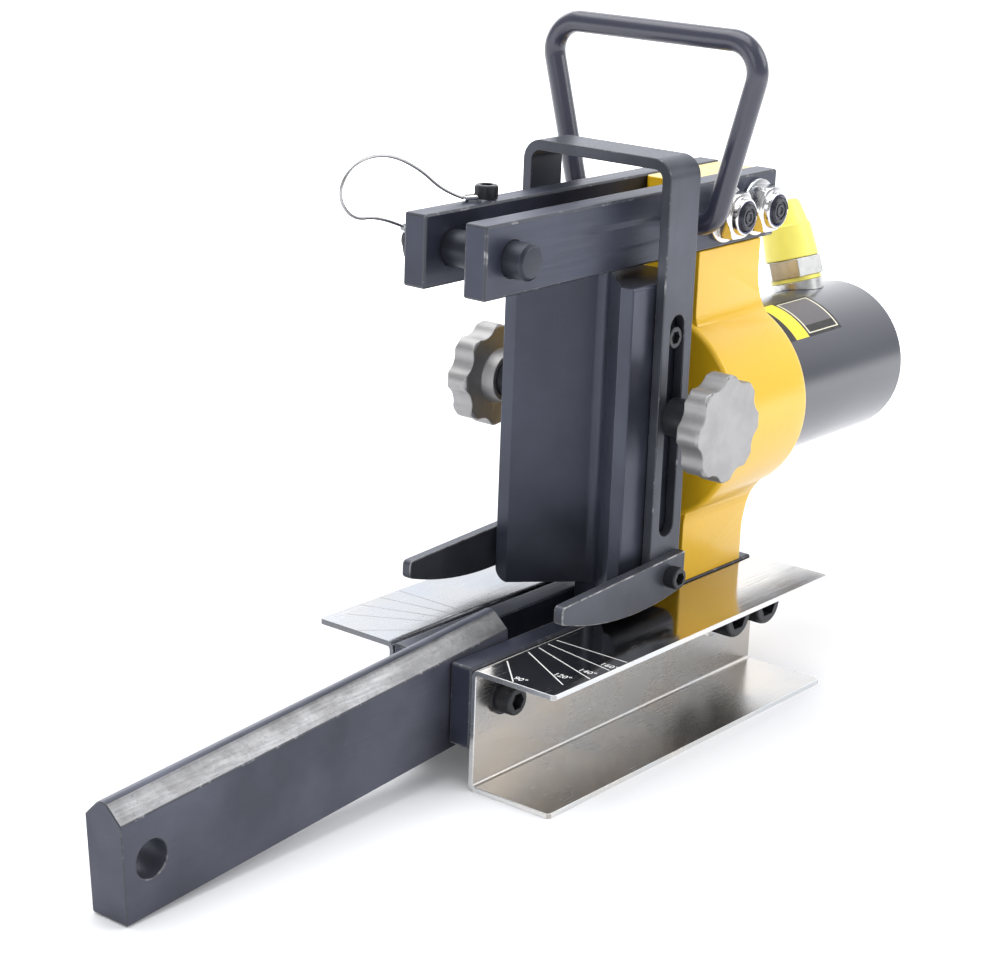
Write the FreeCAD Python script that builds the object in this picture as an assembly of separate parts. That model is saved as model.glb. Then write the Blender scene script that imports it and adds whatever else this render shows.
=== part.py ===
import FreeCAD
import Part
import math
import os

V = FreeCAD.Vector

# Hydraulic bar bender, lying on its two base channels.
# X runs back towards the cylinder, Y to the far side, Z up. Millimetres.

# Side bars, rails and base channels
bar_thickness = 12.0
bar_gap = 21.0
frame_length = 219.0
rail_height = 38.0
bar_height = 32.0
clear_height = 162.0
bar_edge = 0.8
sheet = 2.5
flange_corner = 2.0
flange_width = 45.0
channel_height = 57.0
channel_bend = 4.0

# Casting, its disc set back from the rear end of the bars
disc_setback = 66.0
disc_length = 68.0
disc_front_radius = 51.5
disc_rear_radius = 48.5
disc_front_round = 2.5
disc_rear_round = 5.0
neck_step = 4.0
neck_length = 51.5
neck_flare = 11.0
neck_flare_top = 60.0
neck_flare_foot = 34.0
neck_flare_bend = 30.0
neck_fillet = 16.0
lug_step = 3.0
lug_setback = 2.0
lug_round = 4.0
lug_clearance = 0.1
lug_inset = 0.6
gland_wall = 23.0

# Cylinder
barrel_radius = 39.0
barrel_floor = 12.0
oil_gap = 18.4
barrel_edge = 2.0
bore_radius = 28.0
rod_radius = 16.0
piston_length = 20.0
piston_gap = 0.1
spigot_radius = 10.0
spigot_edge = 1.0
seal_width = 7.0
seal_depth = 4.0
fit = 0.05
bush_wall = 5.0
wiper_width = 5.0
wiper_wall = 6.0
thread_radius = 11.0
thread_depth = 16.0
stroke = 58.0

# Return spring
spring_wire = 6.0
spring_radius = 22.0
spring_turns = 6.5
spring_seat = 0.3

# Moving die, between the rails and the upper bars with a gap at each end
die_setback = 19.0
die_depth = 47.0
die_half_width = 36.0
die_gap = 5.0
groove_half_width = 29.0
groove_angle = 87.0
groove_radius = 5.0
die_lower_round = 7.0
die_upper_round = 1.5
key_front = 29.0
key_length = 17.0
key_depth = 12.0
key_recess = 5.0
key_clearance = 0.15

# Swing arm with its pivot, and the locking pin
pivot_x = 18.0
pivot_drop = 17.0
pin_radius = 8.0
pin_clearance = 0.1
arm_width = 20.0
arm_back = 23.5
arm_shoulder = 19.5
arm_nose_radius = 5.0
arm_tip = 14.6
arm_heel = 24.0
arm_edge = 1.0
arm_floor_gap = 0.5
pin_end = 10.5
pin_chamfer = 1.5
pin_head_radius = 12.0
pin_head_length = 6.0
pin_head_edge = 1.0
head_gap = 0.3

# Height-adjustable support: bracket, fingers and clamp knobs.
# A lead is a length ahead of or behind its carrier, a rise a height above the channels.
bracket_lead = 16.5
bracket_width = 23.0
bracket_sheet = 5.0
bracket_rise = 11.0
bracket_headroom = 18.5
bracket_round = 9.5
bracket_clearance = 0.3
slot_width = 11.0
slot_rise = 38.0
slot_drop = 20.0
guide_drop = 10.5
finger_sheet = 5.0
finger_reach = 71.5
finger_tail = 21.0
finger_tip_top = 25.5
finger_tip_bottom = 17.5
finger_belly = 8.5
finger_belly_share = 0.62
finger_rear_bottom = 12.5
finger_rear_top = 30.0
finger_tip_round = 2.5
finger_screw_lead = 9.0
finger_screw_rise = 20.5
knob_rise = 14.0
knob_radius = 25.0
knob_valley_radius = 21.6
knob_lobes = 8
knob_lobe_radius = 6.0
knob_thickness = 12.0
knob_edge = 1.2
hub_radius = 9.0
hub_length = 18.4
collar_radius = 11.5
collar_taper = 1.5
collar_length = 6.0
stud_radius = 5.0
stud_depth = 16.0
guide_head = 4.5

# Carry handle
handle_lead = 9.5
handle_radius = 5.0
handle_rise = 68.0
handle_top_half = 60.5
handle_foot_half = 38.0
handle_foot_depth = 8.0
handle_top_bend = 14.0
handle_foot_bend = 11.0

# Quick coupler and its dust cap, leaning towards the far side
coupler_gap = 4.4
coupler_lean = 17.5
coupler_turn = 42.0
coupler_base_radius = 13.5
coupler_base_height = 3.4
coupler_ring_radius = 13.2
coupler_ring_height = 2.4
coupler_hex = 27.0
coupler_hex_height = 9.4
nipple_radius = 8.5
nipple_height = 19.0
nipple_edge = 1.0
port_radius = 3.0
spigot_length = 10.0
port_spigot_radius = 7.0
cap_foot_radius = 14.0
cap_shoulder_radius = 12.8
cap_shoulder = 17.5
cap_step = 0.8
cap_top_radius = 9.0
cap_height = 30.5
cap_edge = 0.6
cap_top_round = 3.0
cap_bore_gap = 0.2
cap_bore_depth = 21.0

# Bolts, nuts and washers
bolt_radius = 7.0
bolt_pitch = 26.5
upper_bolt_setback = 18.0
lower_bolt_setback = 10.5
hex_size = 21.0
hex_head = 8.5
socket_head_radius = 10.5
socket_head = 14.0
nut_height = 11.0
washer_radius = 13.5
washer_sheet = 2.5
bolt_end = 1.5
bolt_edge = 1.0
small_screw_radius = 4.0
small_head_radius = 6.5
small_head = 8.0
small_washer = 1.6
small_washer_radius = 8.0
pivot_thread = 14.0
light_screw_radius = 3.0
light_head_radius = 5.0
light_head = 6.0
light_thread = 10.0
socket_share = 0.55
head_edge_share = 0.125

# Lanyard of the locking pin
lanyard_screw_x = 47.0
eyelet_sheet = 0.8
eyelet_radius = 4.8
crimp_radius = 1.6
crimp_gap = 0.05
crimp_reach = 11.5
tab_share = 0.75
crimp_turn = 162.0
pin_crimp_turn = 143.0
wire_gap = 0.3
wire_diameter = 1.4
wire_loop_reach = 60.0
wire_loop_shares = [
    (-0.103, 0.027, 0.078),
    (-0.279, 0.047, 0.292),
    (-0.531, 0.067, 0.448),
    (-0.782, 0.079, 0.429),
    (-0.859, 0.074, 0.243),
    (-0.635, 0.061, 0.065),
    (-0.295, 0.039, 0.079),
]

# One overrun for every cut that passes through a surface
overrun = 4.0
arc_share = 0.45
same_point = 1e-6

# Places that follow from the sizes above: heights
rail_base = channel_height - rail_height
bar_base = channel_height + clear_height
bar_top = bar_base + bar_height
axis_height = channel_height + clear_height / 2
bar_centre = bar_base + bar_height / 2
rail_centre = rail_base + rail_height / 2
pin_height = bar_centre
pivot_height = channel_height - pivot_drop
die_base = channel_height + die_gap
die_height = clear_height - 2 * die_gap
bracket_bottom = channel_height + bracket_rise
bracket_top = bar_top + bracket_headroom
slot_bottom = channel_height + slot_rise
slot_top = bar_base - slot_drop
guide_height = slot_top - guide_drop
finger_screw_z = channel_height + finger_screw_rise
knob_height = axis_height + knob_rise
handle_top = bar_top + handle_rise

# Widths
inner_face = bar_gap / 2
outer_face = inner_face + bar_thickness
web_face = outer_face + sheet
leg_inner = die_half_width + bracket_clearance
leg_outer = leg_inner + bracket_sheet

# Lengths, from the rear end of the bars forwards and then back along the cylinder
disc_front = frame_length - disc_setback
disc_rear = disc_front + disc_length
neck_front = disc_front + neck_step
lug_front = disc_front + lug_step
upper_bolt_x = frame_length - upper_bolt_setback - bolt_pitch
lower_bolt_x = frame_length - lower_bolt_setback - bolt_pitch
handle_x = disc_front - handle_lead
die_rear = disc_front - die_setback
die_front = die_rear - die_depth
groove_depth = groove_half_width / math.tan(math.radians(groove_angle / 2))
bracket_front = die_front + bracket_lead
leg_centre = bracket_front + bracket_width / 2
finger_tip = bracket_front - finger_reach
finger_rear = bracket_front + finger_tail
finger_screw_x = bracket_front + finger_screw_lead
rod_front = die_rear - thread_depth
gland_rear = disc_front + gland_wall
piston_front = gland_rear + stroke + spring_wire * (spring_turns + 0.5) + 2 * spring_seat
piston_rear = piston_front + piston_length
coupler_x = piston_rear + coupler_gap
chamber_end = piston_rear + oil_gap
barrel_end = chamber_end + barrel_floor
arm_hole = pin_height - pivot_height
arm_length = arm_hole + arm_tip

# Rest pitch of the swing arm: its tip just clears the surface the part stands on
tip_reach = math.hypot(arm_length, arm_back)
rest_pitch = math.degrees(
    math.asin((pivot_height - arm_floor_gap) / tip_reach) - math.atan2(arm_back, arm_length))
arm_apex = arm_shoulder + arm_width / 2 - arm_nose_radius * (math.sqrt(2) - 1)
foremost = pivot_x - (arm_length * math.cos(math.radians(rest_pitch))
                      + arm_apex * math.sin(math.radians(rest_pitch)))

# The origin lies below the middle of the whole part
origin_x = (foremost + barrel_end) / 2


def box(x0, x1, y0, y1, z0, z1):
    return Part.makeBox(x1 - x0, y1 - y0, z1 - z0, V(x0, y0, z0))


def rod(radius, start, end):
    along = end - start
    return Part.makeCylinder(radius, along.Length, start, along)


def rod_y(radius, x, z, y0, y1):
    return rod(radius, V(x, y0, z), V(x, y1, z))


def rod_x(radius, x0, x1):
    return rod(radius, V(x0, 0, axis_height), V(x1, 0, axis_height))


def rounded_edges(corners, closed=True):
    """Lines joined by tangent arcs. Each corner is (point, radius)."""
    count = len(corners)
    bends = []
    for i, (point, radius) in enumerate(corners):
        is_end = not closed and i in (0, count - 1)
        if radius == 0 or is_end:
            bends.append((point, point, None))
            continue
        back = (corners[i - 1][0] - point).normalize()
        ahead = (corners[(i + 1) % count][0] - point).normalize()
        half = back.getAngle(ahead) / 2
        reach = radius / math.tan(half)
        towards = (back + ahead).normalize()
        middle = point + towards * (radius / math.sin(half) - radius)
        bends.append((point + back * reach, point + ahead * reach, middle))
    edges = []
    for i in range(count):
        enter, leave, middle = bends[i]
        if middle is not None:
            edges.append(Part.Arc(enter, middle, leave).toShape())
        if i == count - 1 and not closed:
            break
        following = bends[(i + 1) % count][0]
        if (following - leave).Length > same_point:
            edges.append(Part.LineSegment(leave, following).toShape())
    return edges


def prism(corners, direction):
    """A rounded polygon pushed along a direction."""
    face = Part.Face(Part.Wire(rounded_edges(corners)))
    return face.extrude(direction)


def placed(shape, base, direction):
    """Stand a shape made about the Z axis on a base point, along a direction."""
    shape.Placement = FreeCAD.Placement(base, FreeCAD.Rotation(V(0, 0, 1), direction))
    return shape


def turned(stations, base, direction):
    """A solid of revolution. Each station is (height, radius, corner radius)."""
    corners = [(V(radius, 0, height), corner) for height, radius, corner in stations]
    face = Part.Face(Part.Wire(rounded_edges(corners)))
    return placed(face.revolve(V(0, 0, 0), V(0, 0, 1), 360), base, direction)


def ring(outer, inner, start, end):
    along = end - start
    length = along.Length
    return turned([(0, inner, 0), (0, outer, 0), (length, outer, 0), (length, inner, 0)], start, along)


def hexagon(across, height, base, direction, first_corner=0):
    """A hexagonal prism, its first corner turned so many degrees from the X axis."""
    corner = FreeCAD.Rotation(V(0, 0, 1), first_corner).multVec(V(across / math.sqrt(3), 0, 0))
    points = [corner]
    turn = FreeCAD.Rotation(V(0, 0, 1), 60)
    for _ in range(5):
        points.append(turn.multVec(points[-1]))
    face = Part.Face(Part.makePolygon(points + points[:1]))
    return placed(face.extrude(V(0, 0, height)), base, direction)


def mirrored_y(shape):
    return shape.mirror(V(0, 0, 0), V(0, 1, 0))


def fused(shapes):
    return shapes[0].fuse(shapes[1:]).removeSplitter()


def bolt_places(first):
    return [first, first + bolt_pitch]


def tube(corners, radius):
    """A round bar along lines and tangent arcs."""
    path = Part.Wire(rounded_edges(corners, closed=False))
    start = corners[0][0]
    section = Part.Wire(Part.makeCircle(radius, start, corners[1][0] - start))
    return path.makePipeShell([section], True, False)


# The casting

def neck_quarter():
    """One quarter of the neck seen from the front, with the fillet that runs into the disc."""
    half_height = clear_height / 2
    reach = disc_rear_radius + neck_fillet
    centre = V(0, outer_face + neck_fillet, 0)
    centre.z = math.sqrt(reach ** 2 - centre.y ** 2)
    on_neck = V(0, outer_face, centre.z)
    on_disc = centre * (disc_rear_radius / reach)
    inwards = (V(0, -1, 0) - centre / reach).normalize()
    edges = [
        Part.LineSegment(V(0, 0, 0), V(0, 0, half_height)).toShape(),
        Part.LineSegment(V(0, 0, half_height), V(0, outer_face, half_height)).toShape(),
        Part.LineSegment(V(0, outer_face, half_height), on_neck).toShape(),
        Part.Arc(on_neck, centre + inwards * neck_fillet, on_disc).toShape(),
        Part.LineSegment(on_disc, V(0, 0, 0)).toShape(),
    ]
    quarter = Part.Face(Part.Wire(edges)).extrude(V(disc_length, 0, 0))
    quarter.translate(V(disc_front, 0, axis_height))
    return quarter


def neck():
    """Upper and lower neck: the front outline cut by the flared side outline."""
    upper = [neck_quarter(), mirrored_y(neck_quarter())]
    lower = [part.mirror(V(0, 0, axis_height), V(0, 0, 1)) for part in upper]
    front_outline = fused(upper + lower)
    rear = neck_front + neck_length
    flare = rear + neck_flare
    top = clear_height / 2
    half = [(rear, top, 0), (rear, neck_flare_top, neck_flare_bend), (flare, neck_flare_foot, 0)]
    outline = [(neck_front, -top, 0), (neck_front, top, 0)] + half
    outline += [(x, -z, bend) for x, z, bend in reversed(half)]
    width = disc_front_radius + neck_fillet
    corners = [(V(x, -width, axis_height + z), bend) for x, z, bend in outline]
    return front_outline.common(prism(corners, V(0, 2 * width, 0)))


def lug():
    """The tongue that stands between both pairs of bars."""
    half = inner_face - lug_clearance
    rear = frame_length - lug_setback
    base = rail_base + lug_inset
    corners = [
        (V(lug_front, -half, base), lug_round),
        (V(rear, -half, base), 0),
        (V(rear, half, base), 0),
        (V(lug_front, half, base), lug_round),
    ]
    return prism(corners, V(0, 0, bar_top - lug_inset - base))


def frame_casting():
    disc = turned(
        [(0, 0, 0), (0, disc_front_radius, disc_front_round),
         (disc_length, disc_rear_radius, disc_rear_round), (disc_length, 0, 0)],
        V(disc_front, 0, axis_height), V(1, 0, 0))
    body = fused([disc, neck(), lug()])
    cuts = [
        rod_x(barrel_radius + fit, gland_rear, disc_rear + overrun),
        rod_x(rod_radius + bush_wall + fit, disc_front - overrun, gland_rear + overrun),
        rod_x(rod_radius + wiper_wall + fit, disc_front - overrun, disc_front + wiper_width),
    ]
    for x in bolt_places(upper_bolt_x):
        cuts.append(rod_y(bolt_radius + fit, x, bar_centre, -outer_face, outer_face))
    for x in bolt_places(lower_bolt_x):
        cuts.append(rod_y(bolt_radius + fit, x, rail_centre, -outer_face, outer_face))
    return body.cut(cuts)


# The cylinder

def on_axis(x):
    return V(x, 0, axis_height)


lean = V(0, math.sin(math.radians(coupler_lean)), math.cos(math.radians(coupler_lean)))


def on_coupler(reach):
    """A point on the coupler's axis, so far from the cylinder's axis."""
    return on_axis(coupler_x) + lean * reach


def cylinder_barrel():
    length = barrel_end - gland_rear
    barrel = turned(
        [(0, bore_radius, 0), (0, barrel_radius, 0), (length, barrel_radius, barrel_edge),
         (length, 0, 0), (length - barrel_floor, 0, 0), (length - barrel_floor, bore_radius, 0)],
        on_axis(gland_rear), V(1, 0, 0))
    middle = (bore_radius + barrel_radius) / 2
    port = rod(port_spigot_radius + fit, on_coupler(middle / 2), on_coupler(barrel_radius + overrun))
    return barrel.cut(port)


def rod_bush():
    return ring(rod_radius + bush_wall, rod_radius + fit,
                on_axis(disc_front + wiper_width), on_axis(gland_rear))


def rod_wiper():
    return ring(rod_radius + wiper_wall, rod_radius + fit,
                on_axis(disc_front), on_axis(disc_front + wiper_width))


def piston_rod():
    thread = thread_depth
    shoulder = piston_front - rod_front
    end = piston_rear - rod_front
    return turned(
        [(0, 0, 0), (0, thread_radius, spigot_edge), (thread, thread_radius, 0), (thread, rod_radius, 0),
         (shoulder, rod_radius, 0), (shoulder, spigot_radius, 0),
         (end, spigot_radius, spigot_edge), (end, 0, 0)],
        on_axis(rod_front), V(1, 0, 0))


def piston():
    radius = bore_radius - piston_gap
    groove = radius - seal_depth
    near = (piston_length - seal_width) / 2
    far = near + seal_width
    return turned(
        [(0, spigot_radius + fit, 0), (0, radius, spigot_edge), (near, radius, 0), (near, groove, 0),
         (far, groove, 0), (far, radius, 0), (piston_length, radius, spigot_edge),
         (piston_length, spigot_radius + fit, 0)],
        on_axis(piston_front), V(1, 0, 0))


def piston_seal():
    near = piston_front + (piston_length - seal_width) / 2
    return ring(bore_radius - fit, bore_radius - piston_gap - seal_depth + fit,
                on_axis(near + fit), on_axis(near + seal_width - fit))


def bend(start, corner, end):
    """The arc that touches start-corner and corner-end, both of one length."""
    back = (start - corner).normalize()
    ahead = (end - corner).normalize()
    half = back.getAngle(ahead) / 2
    radius = (start - corner).Length * math.tan(half)
    towards = (back + ahead).normalize()
    middle = corner + towards * (radius / math.sin(half) - radius)
    return Part.Arc(start, middle, end).toShape()


def biarc(start, start_way, end, end_way):
    """Two arcs that leave start and reach end along the given directions."""
    across = end - start
    ways = start_way + end_way
    spread = 2 * (1 - start_way.dot(end_way))
    reach = (-across.dot(ways) + math.sqrt(across.dot(ways) ** 2 + spread * across.dot(across))) / spread
    first = start + start_way * reach
    second = end - end_way * reach
    joint = (first + second) / 2
    return [bend(start, first, joint), bend(joint, second, end)]


def return_spring():
    """An open coil about the rod, in half turns."""
    first = gland_rear + spring_seat + spring_wire / 2
    last = piston_front - spring_seat - spring_wire / 2
    steps = int(round(2 * spring_turns))
    climb = (last - first) / steps
    rise = climb / (math.pi * spring_radius)

    def state(step):
        angle = math.pi * step
        out = V(0, math.cos(angle), math.sin(angle))
        way = V(rise, -math.sin(angle), math.cos(angle)).normalize()
        return on_axis(first + climb * step) + out * spring_radius, way

    edges = []
    for step in range(steps):
        start, start_way = state(step)
        end, end_way = state(step + 1)
        edges += biarc(start, start_way, end, end_way)
    start, start_way = state(0)
    section = Part.Wire(Part.makeCircle(spring_wire / 2, start, start_way))
    print("spring gap between turns", round(2 * climb - spring_wire, 2))
    return Part.Wire(edges).makePipeShell([section], True, False)


# The moving die

def v_die():
    wide = die_half_width
    groove = groove_half_width
    outline = [
        (die_front, wide, bar_edge), (die_front, groove, bar_edge),
        (die_front + groove_depth, 0, groove_radius),
        (die_front, -groove, bar_edge), (die_front, -wide, bar_edge),
        (die_rear, -wide, bar_edge), (die_rear, wide, bar_edge),
    ]
    plan = prism([(V(x, y, die_base), corner) for x, y, corner in outline], V(0, 0, die_height))
    top = die_base + die_height
    front_outline = [
        (V(die_front, -wide, die_base), die_lower_round),
        (V(die_front, wide, die_base), die_lower_round),
        (V(die_front, wide, top), die_upper_round),
        (V(die_front, -wide, top), die_upper_round),
    ]
    die = plan.common(prism(front_outline, V(die_depth, 0, 0)))
    key = inner_face - key_clearance
    cuts = [
        rod_x(thread_radius + fit, rod_front - fit, die_rear + overrun),
        box(die_front + key_front, die_front + key_front + key_length, -key, key,
            die_base - overrun, die_base + key_recess),
    ]
    for side in (-1, 1):
        cuts.append(rod_y(stud_radius + fit, leg_centre, knob_height,
                          side * (wide - stud_depth - fit), side * (wide + overrun)))
        cuts.append(rod_y(light_screw_radius + fit, leg_centre, guide_height,
                          side * (wide - light_thread - fit), side * (wide + overrun)))
    return die.cut(cuts)


def die_key():
    """The block under the die that keeps it square between the rails."""
    half = inner_face - key_clearance
    front = die_front + key_front
    return box(front, front + key_length, -half, half, channel_height - key_depth, die_base + key_recess)


# Bars, rails and base channels, made for the far side

def edged_box(x0, x1, y0, y1, z0, z1):
    block = box(x0, x1, y0, y1, z0, z1)
    return block.makeChamfer(bar_edge, block.Edges)


def upper_bar(is_far):
    bar = edged_box(0, frame_length, inner_face, outer_face, bar_base, bar_top)
    cuts = [rod_y(pin_radius + pin_clearance, pivot_x, pin_height, 0, outer_face + overrun)]
    for x in bolt_places(upper_bolt_x):
        cuts.append(rod_y(bolt_radius + fit, x, bar_centre, 0, outer_face + overrun))
    cuts.append(rod_y(handle_radius + fit, handle_x, bar_centre,
                      outer_face - handle_foot_depth - fit, outer_face + overrun))
    if is_far:
        middle = (inner_face + outer_face) / 2
        cuts.append(rod(light_screw_radius + fit, V(lanyard_screw_x, middle, bar_top - light_thread - fit),
                        V(lanyard_screw_x, middle, bar_top + overrun)))
    bar = bar.cut(cuts)
    return bar if is_far else mirrored_y(bar)


def lower_rail(is_far):
    rail = edged_box(0, frame_length, inner_face, outer_face, rail_base, channel_height)
    cuts = [rod_y(pin_radius + fit, pivot_x, pivot_height, 0, outer_face + overrun)]
    for x in bolt_places(lower_bolt_x):
        cuts.append(rod_y(bolt_radius + fit, x, rail_centre, 0, outer_face + overrun))
    rail = rail.cut(cuts)
    return rail if is_far else mirrored_y(rail)


def base_channel(is_far):
    """A bent sheet foot: its web against the rail, both flanges outwards."""
    tip = outer_face + flange_width
    inner_bend = channel_bend - sheet
    outline = [
        (outer_face, 0, channel_bend), (tip, 0, 0), (tip, sheet, 0), (web_face, sheet, inner_bend),
        (web_face, channel_height - sheet, inner_bend), (tip, channel_height - sheet, 0),
        (tip, channel_height, 0), (outer_face, channel_height, channel_bend),
    ]
    channel = prism([(V(0, y, z), corner) for y, z, corner in outline], V(frame_length, 0, 0))
    cuts = [rod_y(small_screw_radius + fit, pivot_x, pivot_height, 0, web_face + overrun)]
    for x in bolt_places(lower_bolt_x):
        cuts.append(rod_y(bolt_radius + fit, x, rail_centre, 0, web_face + overrun))
    channel = channel.cut(cuts)
    corners = [edge for edge in channel.Edges
               if edge.BoundBox.ZLength > sheet / 2 and edge.BoundBox.YMin > tip - same_point]
    channel = channel.makeFillet(flange_corner, corners)
    return channel if is_far else mirrored_y(channel)


# Bolts, nuts and washers

def socket(radius, depth, base, direction):
    """The hexagon recess in a screw head, cut inwards from the head's face."""
    return hexagon(2 * radius * socket_share, depth + overrun, base - direction * depth, direction)


def socket_screw(shank_radius, shank, head_radius, head, seat, direction):
    """A cap screw: its head stands on the seat, its shank runs back into the part."""
    screw = fused([
        turned([(0, 0, 0), (0, head_radius, 0), (head, head_radius, head * head_edge_share), (head, 0, 0)], seat, direction),
        rod(shank_radius, seat - direction * shank, seat),
    ])
    return screw.cut(socket(head_radius, head / 2, seat + direction * head, direction))


def upper_bolts():
    """Hexagon heads on the far side, plain ends through the nuts on the near side."""
    seat = outer_face + washer_sheet
    solids = []
    for x in bolt_places(upper_bolt_x):
        shank = turned([(0, 0, 0), (0, bolt_radius, bolt_edge), (2 * seat + nut_height + bolt_end, bolt_radius, 0),
                        (2 * seat + nut_height + bolt_end, 0, 0)],
                       V(x, -seat - nut_height - bolt_end, bar_centre), V(0, 1, 0))
        solids.append(fused([shank, hexagon(hex_size, hex_head, V(x, seat, bar_centre), V(0, 1, 0))]))
    return solids


def lower_bolts():
    """Socket heads on the near side, through both channels and rails."""
    seat = web_face + washer_sheet
    shank = 2 * seat + nut_height + bolt_end
    return [socket_screw(bolt_radius, shank, socket_head_radius, socket_head, V(x, -seat, rail_centre), V(0, -1, 0))
            for x in bolt_places(lower_bolt_x)]


def nut(x, z, start, side):
    """A hexagon nut with its corners turned off, on the start plane towards one side."""
    corner = hex_size / math.sqrt(3)
    turned_off = corner - hex_size / 2
    block = hexagon(hex_size, nut_height, V(x, side * start, z), V(0, side, 0))
    barrel = turned([(0, 0, 0), (0, hex_size / 2, 0), (turned_off, corner, 0),
                     (nut_height - turned_off, corner, 0), (nut_height, hex_size / 2, 0), (nut_height, 0, 0)],
                    V(x, side * start, z), V(0, side, 0))
    hole = rod_y(bolt_radius + fit, x, z, side * (start - overrun), side * (start + nut_height + overrun))
    return block.common(barrel).cut(hole)


def upper_nuts():
    return [nut(x, bar_centre, outer_face + washer_sheet, -1) for x in bolt_places(upper_bolt_x)]


def lower_nuts():
    return [nut(x, rail_centre, web_face + washer_sheet, 1) for x in bolt_places(lower_bolt_x)]


def washers(first, z, face):
    solids = []
    for x in bolt_places(first):
        for side in (-1, 1):
            solids.append(ring(washer_radius, bolt_radius + fit,
                               V(x, side * face, z), V(x, side * (face + washer_sheet), z)))
    return solids


def upper_washers():
    return washers(upper_bolt_x, bar_centre, outer_face)


def lower_washers():
    return washers(lower_bolt_x, rail_centre, web_face)


# Swing arm, its pivot and the locking pin

def swing_arm():
    half = arm_width / 2
    section = [
        (-half, -arm_back, arm_edge), (half, -arm_back, arm_edge), (half, arm_shoulder, 0),
        (0, arm_shoulder + half, arm_nose_radius), (-half, arm_shoulder, 0),
    ]
    arm = prism([(V(-arm_length, y, z), corner) for y, z, corner in section], V(arm_length + arm_heel, 0, 0))
    arm = arm.cut([
        rod_y(pin_radius + pin_clearance, 0, 0, -arm_width, arm_width),
        rod_y(pin_radius + pin_clearance, -arm_hole, 0, -arm_width, arm_width),
    ])
    arm.rotate(V(0, 0, 0), V(0, 1, 0), -rest_pitch)
    arm.translate(V(pivot_x, 0, pivot_height))
    return arm


def pivot_pin():
    pin = rod_y(pin_radius, pivot_x, pivot_height, -outer_face, outer_face)
    for side in (-1, 1):
        pin = pin.cut(rod_y(small_screw_radius + fit, pivot_x, pivot_height,
                            side * (web_face + small_washer - pivot_thread - fit), side * (outer_face + overrun)))
    return pin


def pivot_screws():
    return [socket_screw(small_screw_radius, pivot_thread, small_head_radius, small_head,
                         V(pivot_x, side * (web_face + small_washer), pivot_height), V(0, side, 0))
            for side in (-1, 1)]


def pivot_washers():
    return [ring(small_washer_radius, small_screw_radius + fit,
                 V(pivot_x, side * web_face, pivot_height),
                 V(pivot_x, side * (web_face + small_washer), pivot_height))
            for side in (-1, 1)]


def lock_pin():
    head = outer_face + head_gap + outer_face + pin_end
    end = head + pin_head_length
    pin = turned(
        [(0, 0, 0), (0, pin_radius - pin_chamfer, 0), (pin_chamfer, pin_radius, 0), (head, pin_radius, 0),
         (head, pin_head_radius, pin_head_edge), (end, pin_head_radius, pin_head_edge), (end, 0, 0)],
        V(pivot_x, -outer_face - pin_end, pin_height), V(0, 1, 0))
    face = outer_face + head_gap + pin_head_length
    return pin.cut(rod_y(light_screw_radius + fit, pivot_x, pin_height,
                         face + eyelet_sheet - light_thread - fit, face + overrun))


# Support bracket, fingers and clamp knobs

def support_bracket():
    inner_top = bracket_top - bracket_sheet
    inner_round = bracket_round - bracket_sheet
    outline = [
        (-leg_outer, bracket_bottom, 0), (-leg_outer, bracket_top, bracket_round),
        (leg_outer, bracket_top, bracket_round), (leg_outer, bracket_bottom, 0),
        (leg_inner, bracket_bottom, 0), (leg_inner, inner_top, inner_round),
        (-leg_inner, inner_top, inner_round), (-leg_inner, bracket_bottom, 0),
    ]
    bracket = prism([(V(bracket_front, y, z), corner) for y, z, corner in outline], V(bracket_width, 0, 0))
    reach = leg_outer + overrun
    half = slot_width / 2
    slot = fused([
        box(leg_centre - half, leg_centre + half, -reach, reach, slot_bottom + half, slot_top - half),
        rod_y(half, leg_centre, slot_bottom + half, -reach, reach),
        rod_y(half, leg_centre, slot_top - half, -reach, reach),
    ])
    screws = rod_y(light_screw_radius + fit, finger_screw_x, finger_screw_z, -reach, reach)
    return bracket.cut([slot, screws])


def support_finger(is_far):
    """A plate with a straight upper edge and a bellied lower edge, on the outside of its leg."""
    y = leg_outer
    tip_top = V(finger_tip, y, channel_height + finger_tip_top)
    tip_bottom = V(finger_tip, y, channel_height + finger_tip_bottom)
    rear_top = V(finger_rear, y, channel_height + finger_rear_top)
    rear_bottom = V(finger_rear, y, channel_height + finger_rear_bottom)
    belly_x = finger_tip + (finger_rear - finger_tip) * finger_belly_share
    belly = V(belly_x, y, channel_height + finger_belly)
    outline = Part.Wire([
        Part.LineSegment(tip_top, rear_top).toShape(),
        Part.LineSegment(rear_top, rear_bottom).toShape(),
        Part.Arc(rear_bottom, belly, tip_bottom).toShape(),
        Part.LineSegment(tip_bottom, tip_top).toShape(),
    ])
    finger = Part.Face(outline).extrude(V(0, finger_sheet, 0))
    tips = [edge for edge in finger.Edges
            if all(abs(corner.X - finger_tip) < same_point for corner in edge.Vertexes)
            and edge.BoundBox.YLength > finger_sheet / 2]
    finger = finger.makeFillet(finger_tip_round, tips)
    finger = finger.cut(rod_y(light_screw_radius + fit, finger_screw_x, finger_screw_z,
                              y - overrun, y + finger_sheet + overrun))
    return finger if is_far else mirrored_y(finger)


def finger_screws():
    return [socket_screw(light_screw_radius, finger_sheet + bracket_sheet, light_head_radius, light_head,
                         V(finger_screw_x, side * (leg_outer + finger_sheet), finger_screw_z), V(0, side, 0))
            for side in (-1, 1)]


def bracket_guide_screws():
    """Two screws in the die's sides that guide the slots of the bracket."""
    return [socket_screw(light_screw_radius, light_thread, light_head_radius, guide_head,
                         V(leg_centre, side * die_half_width, guide_height), V(0, side, 0))
            for side in (-1, 1)]


hub_start = leg_outer + bracket_clearance
disc_start = hub_start + hub_length


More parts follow.
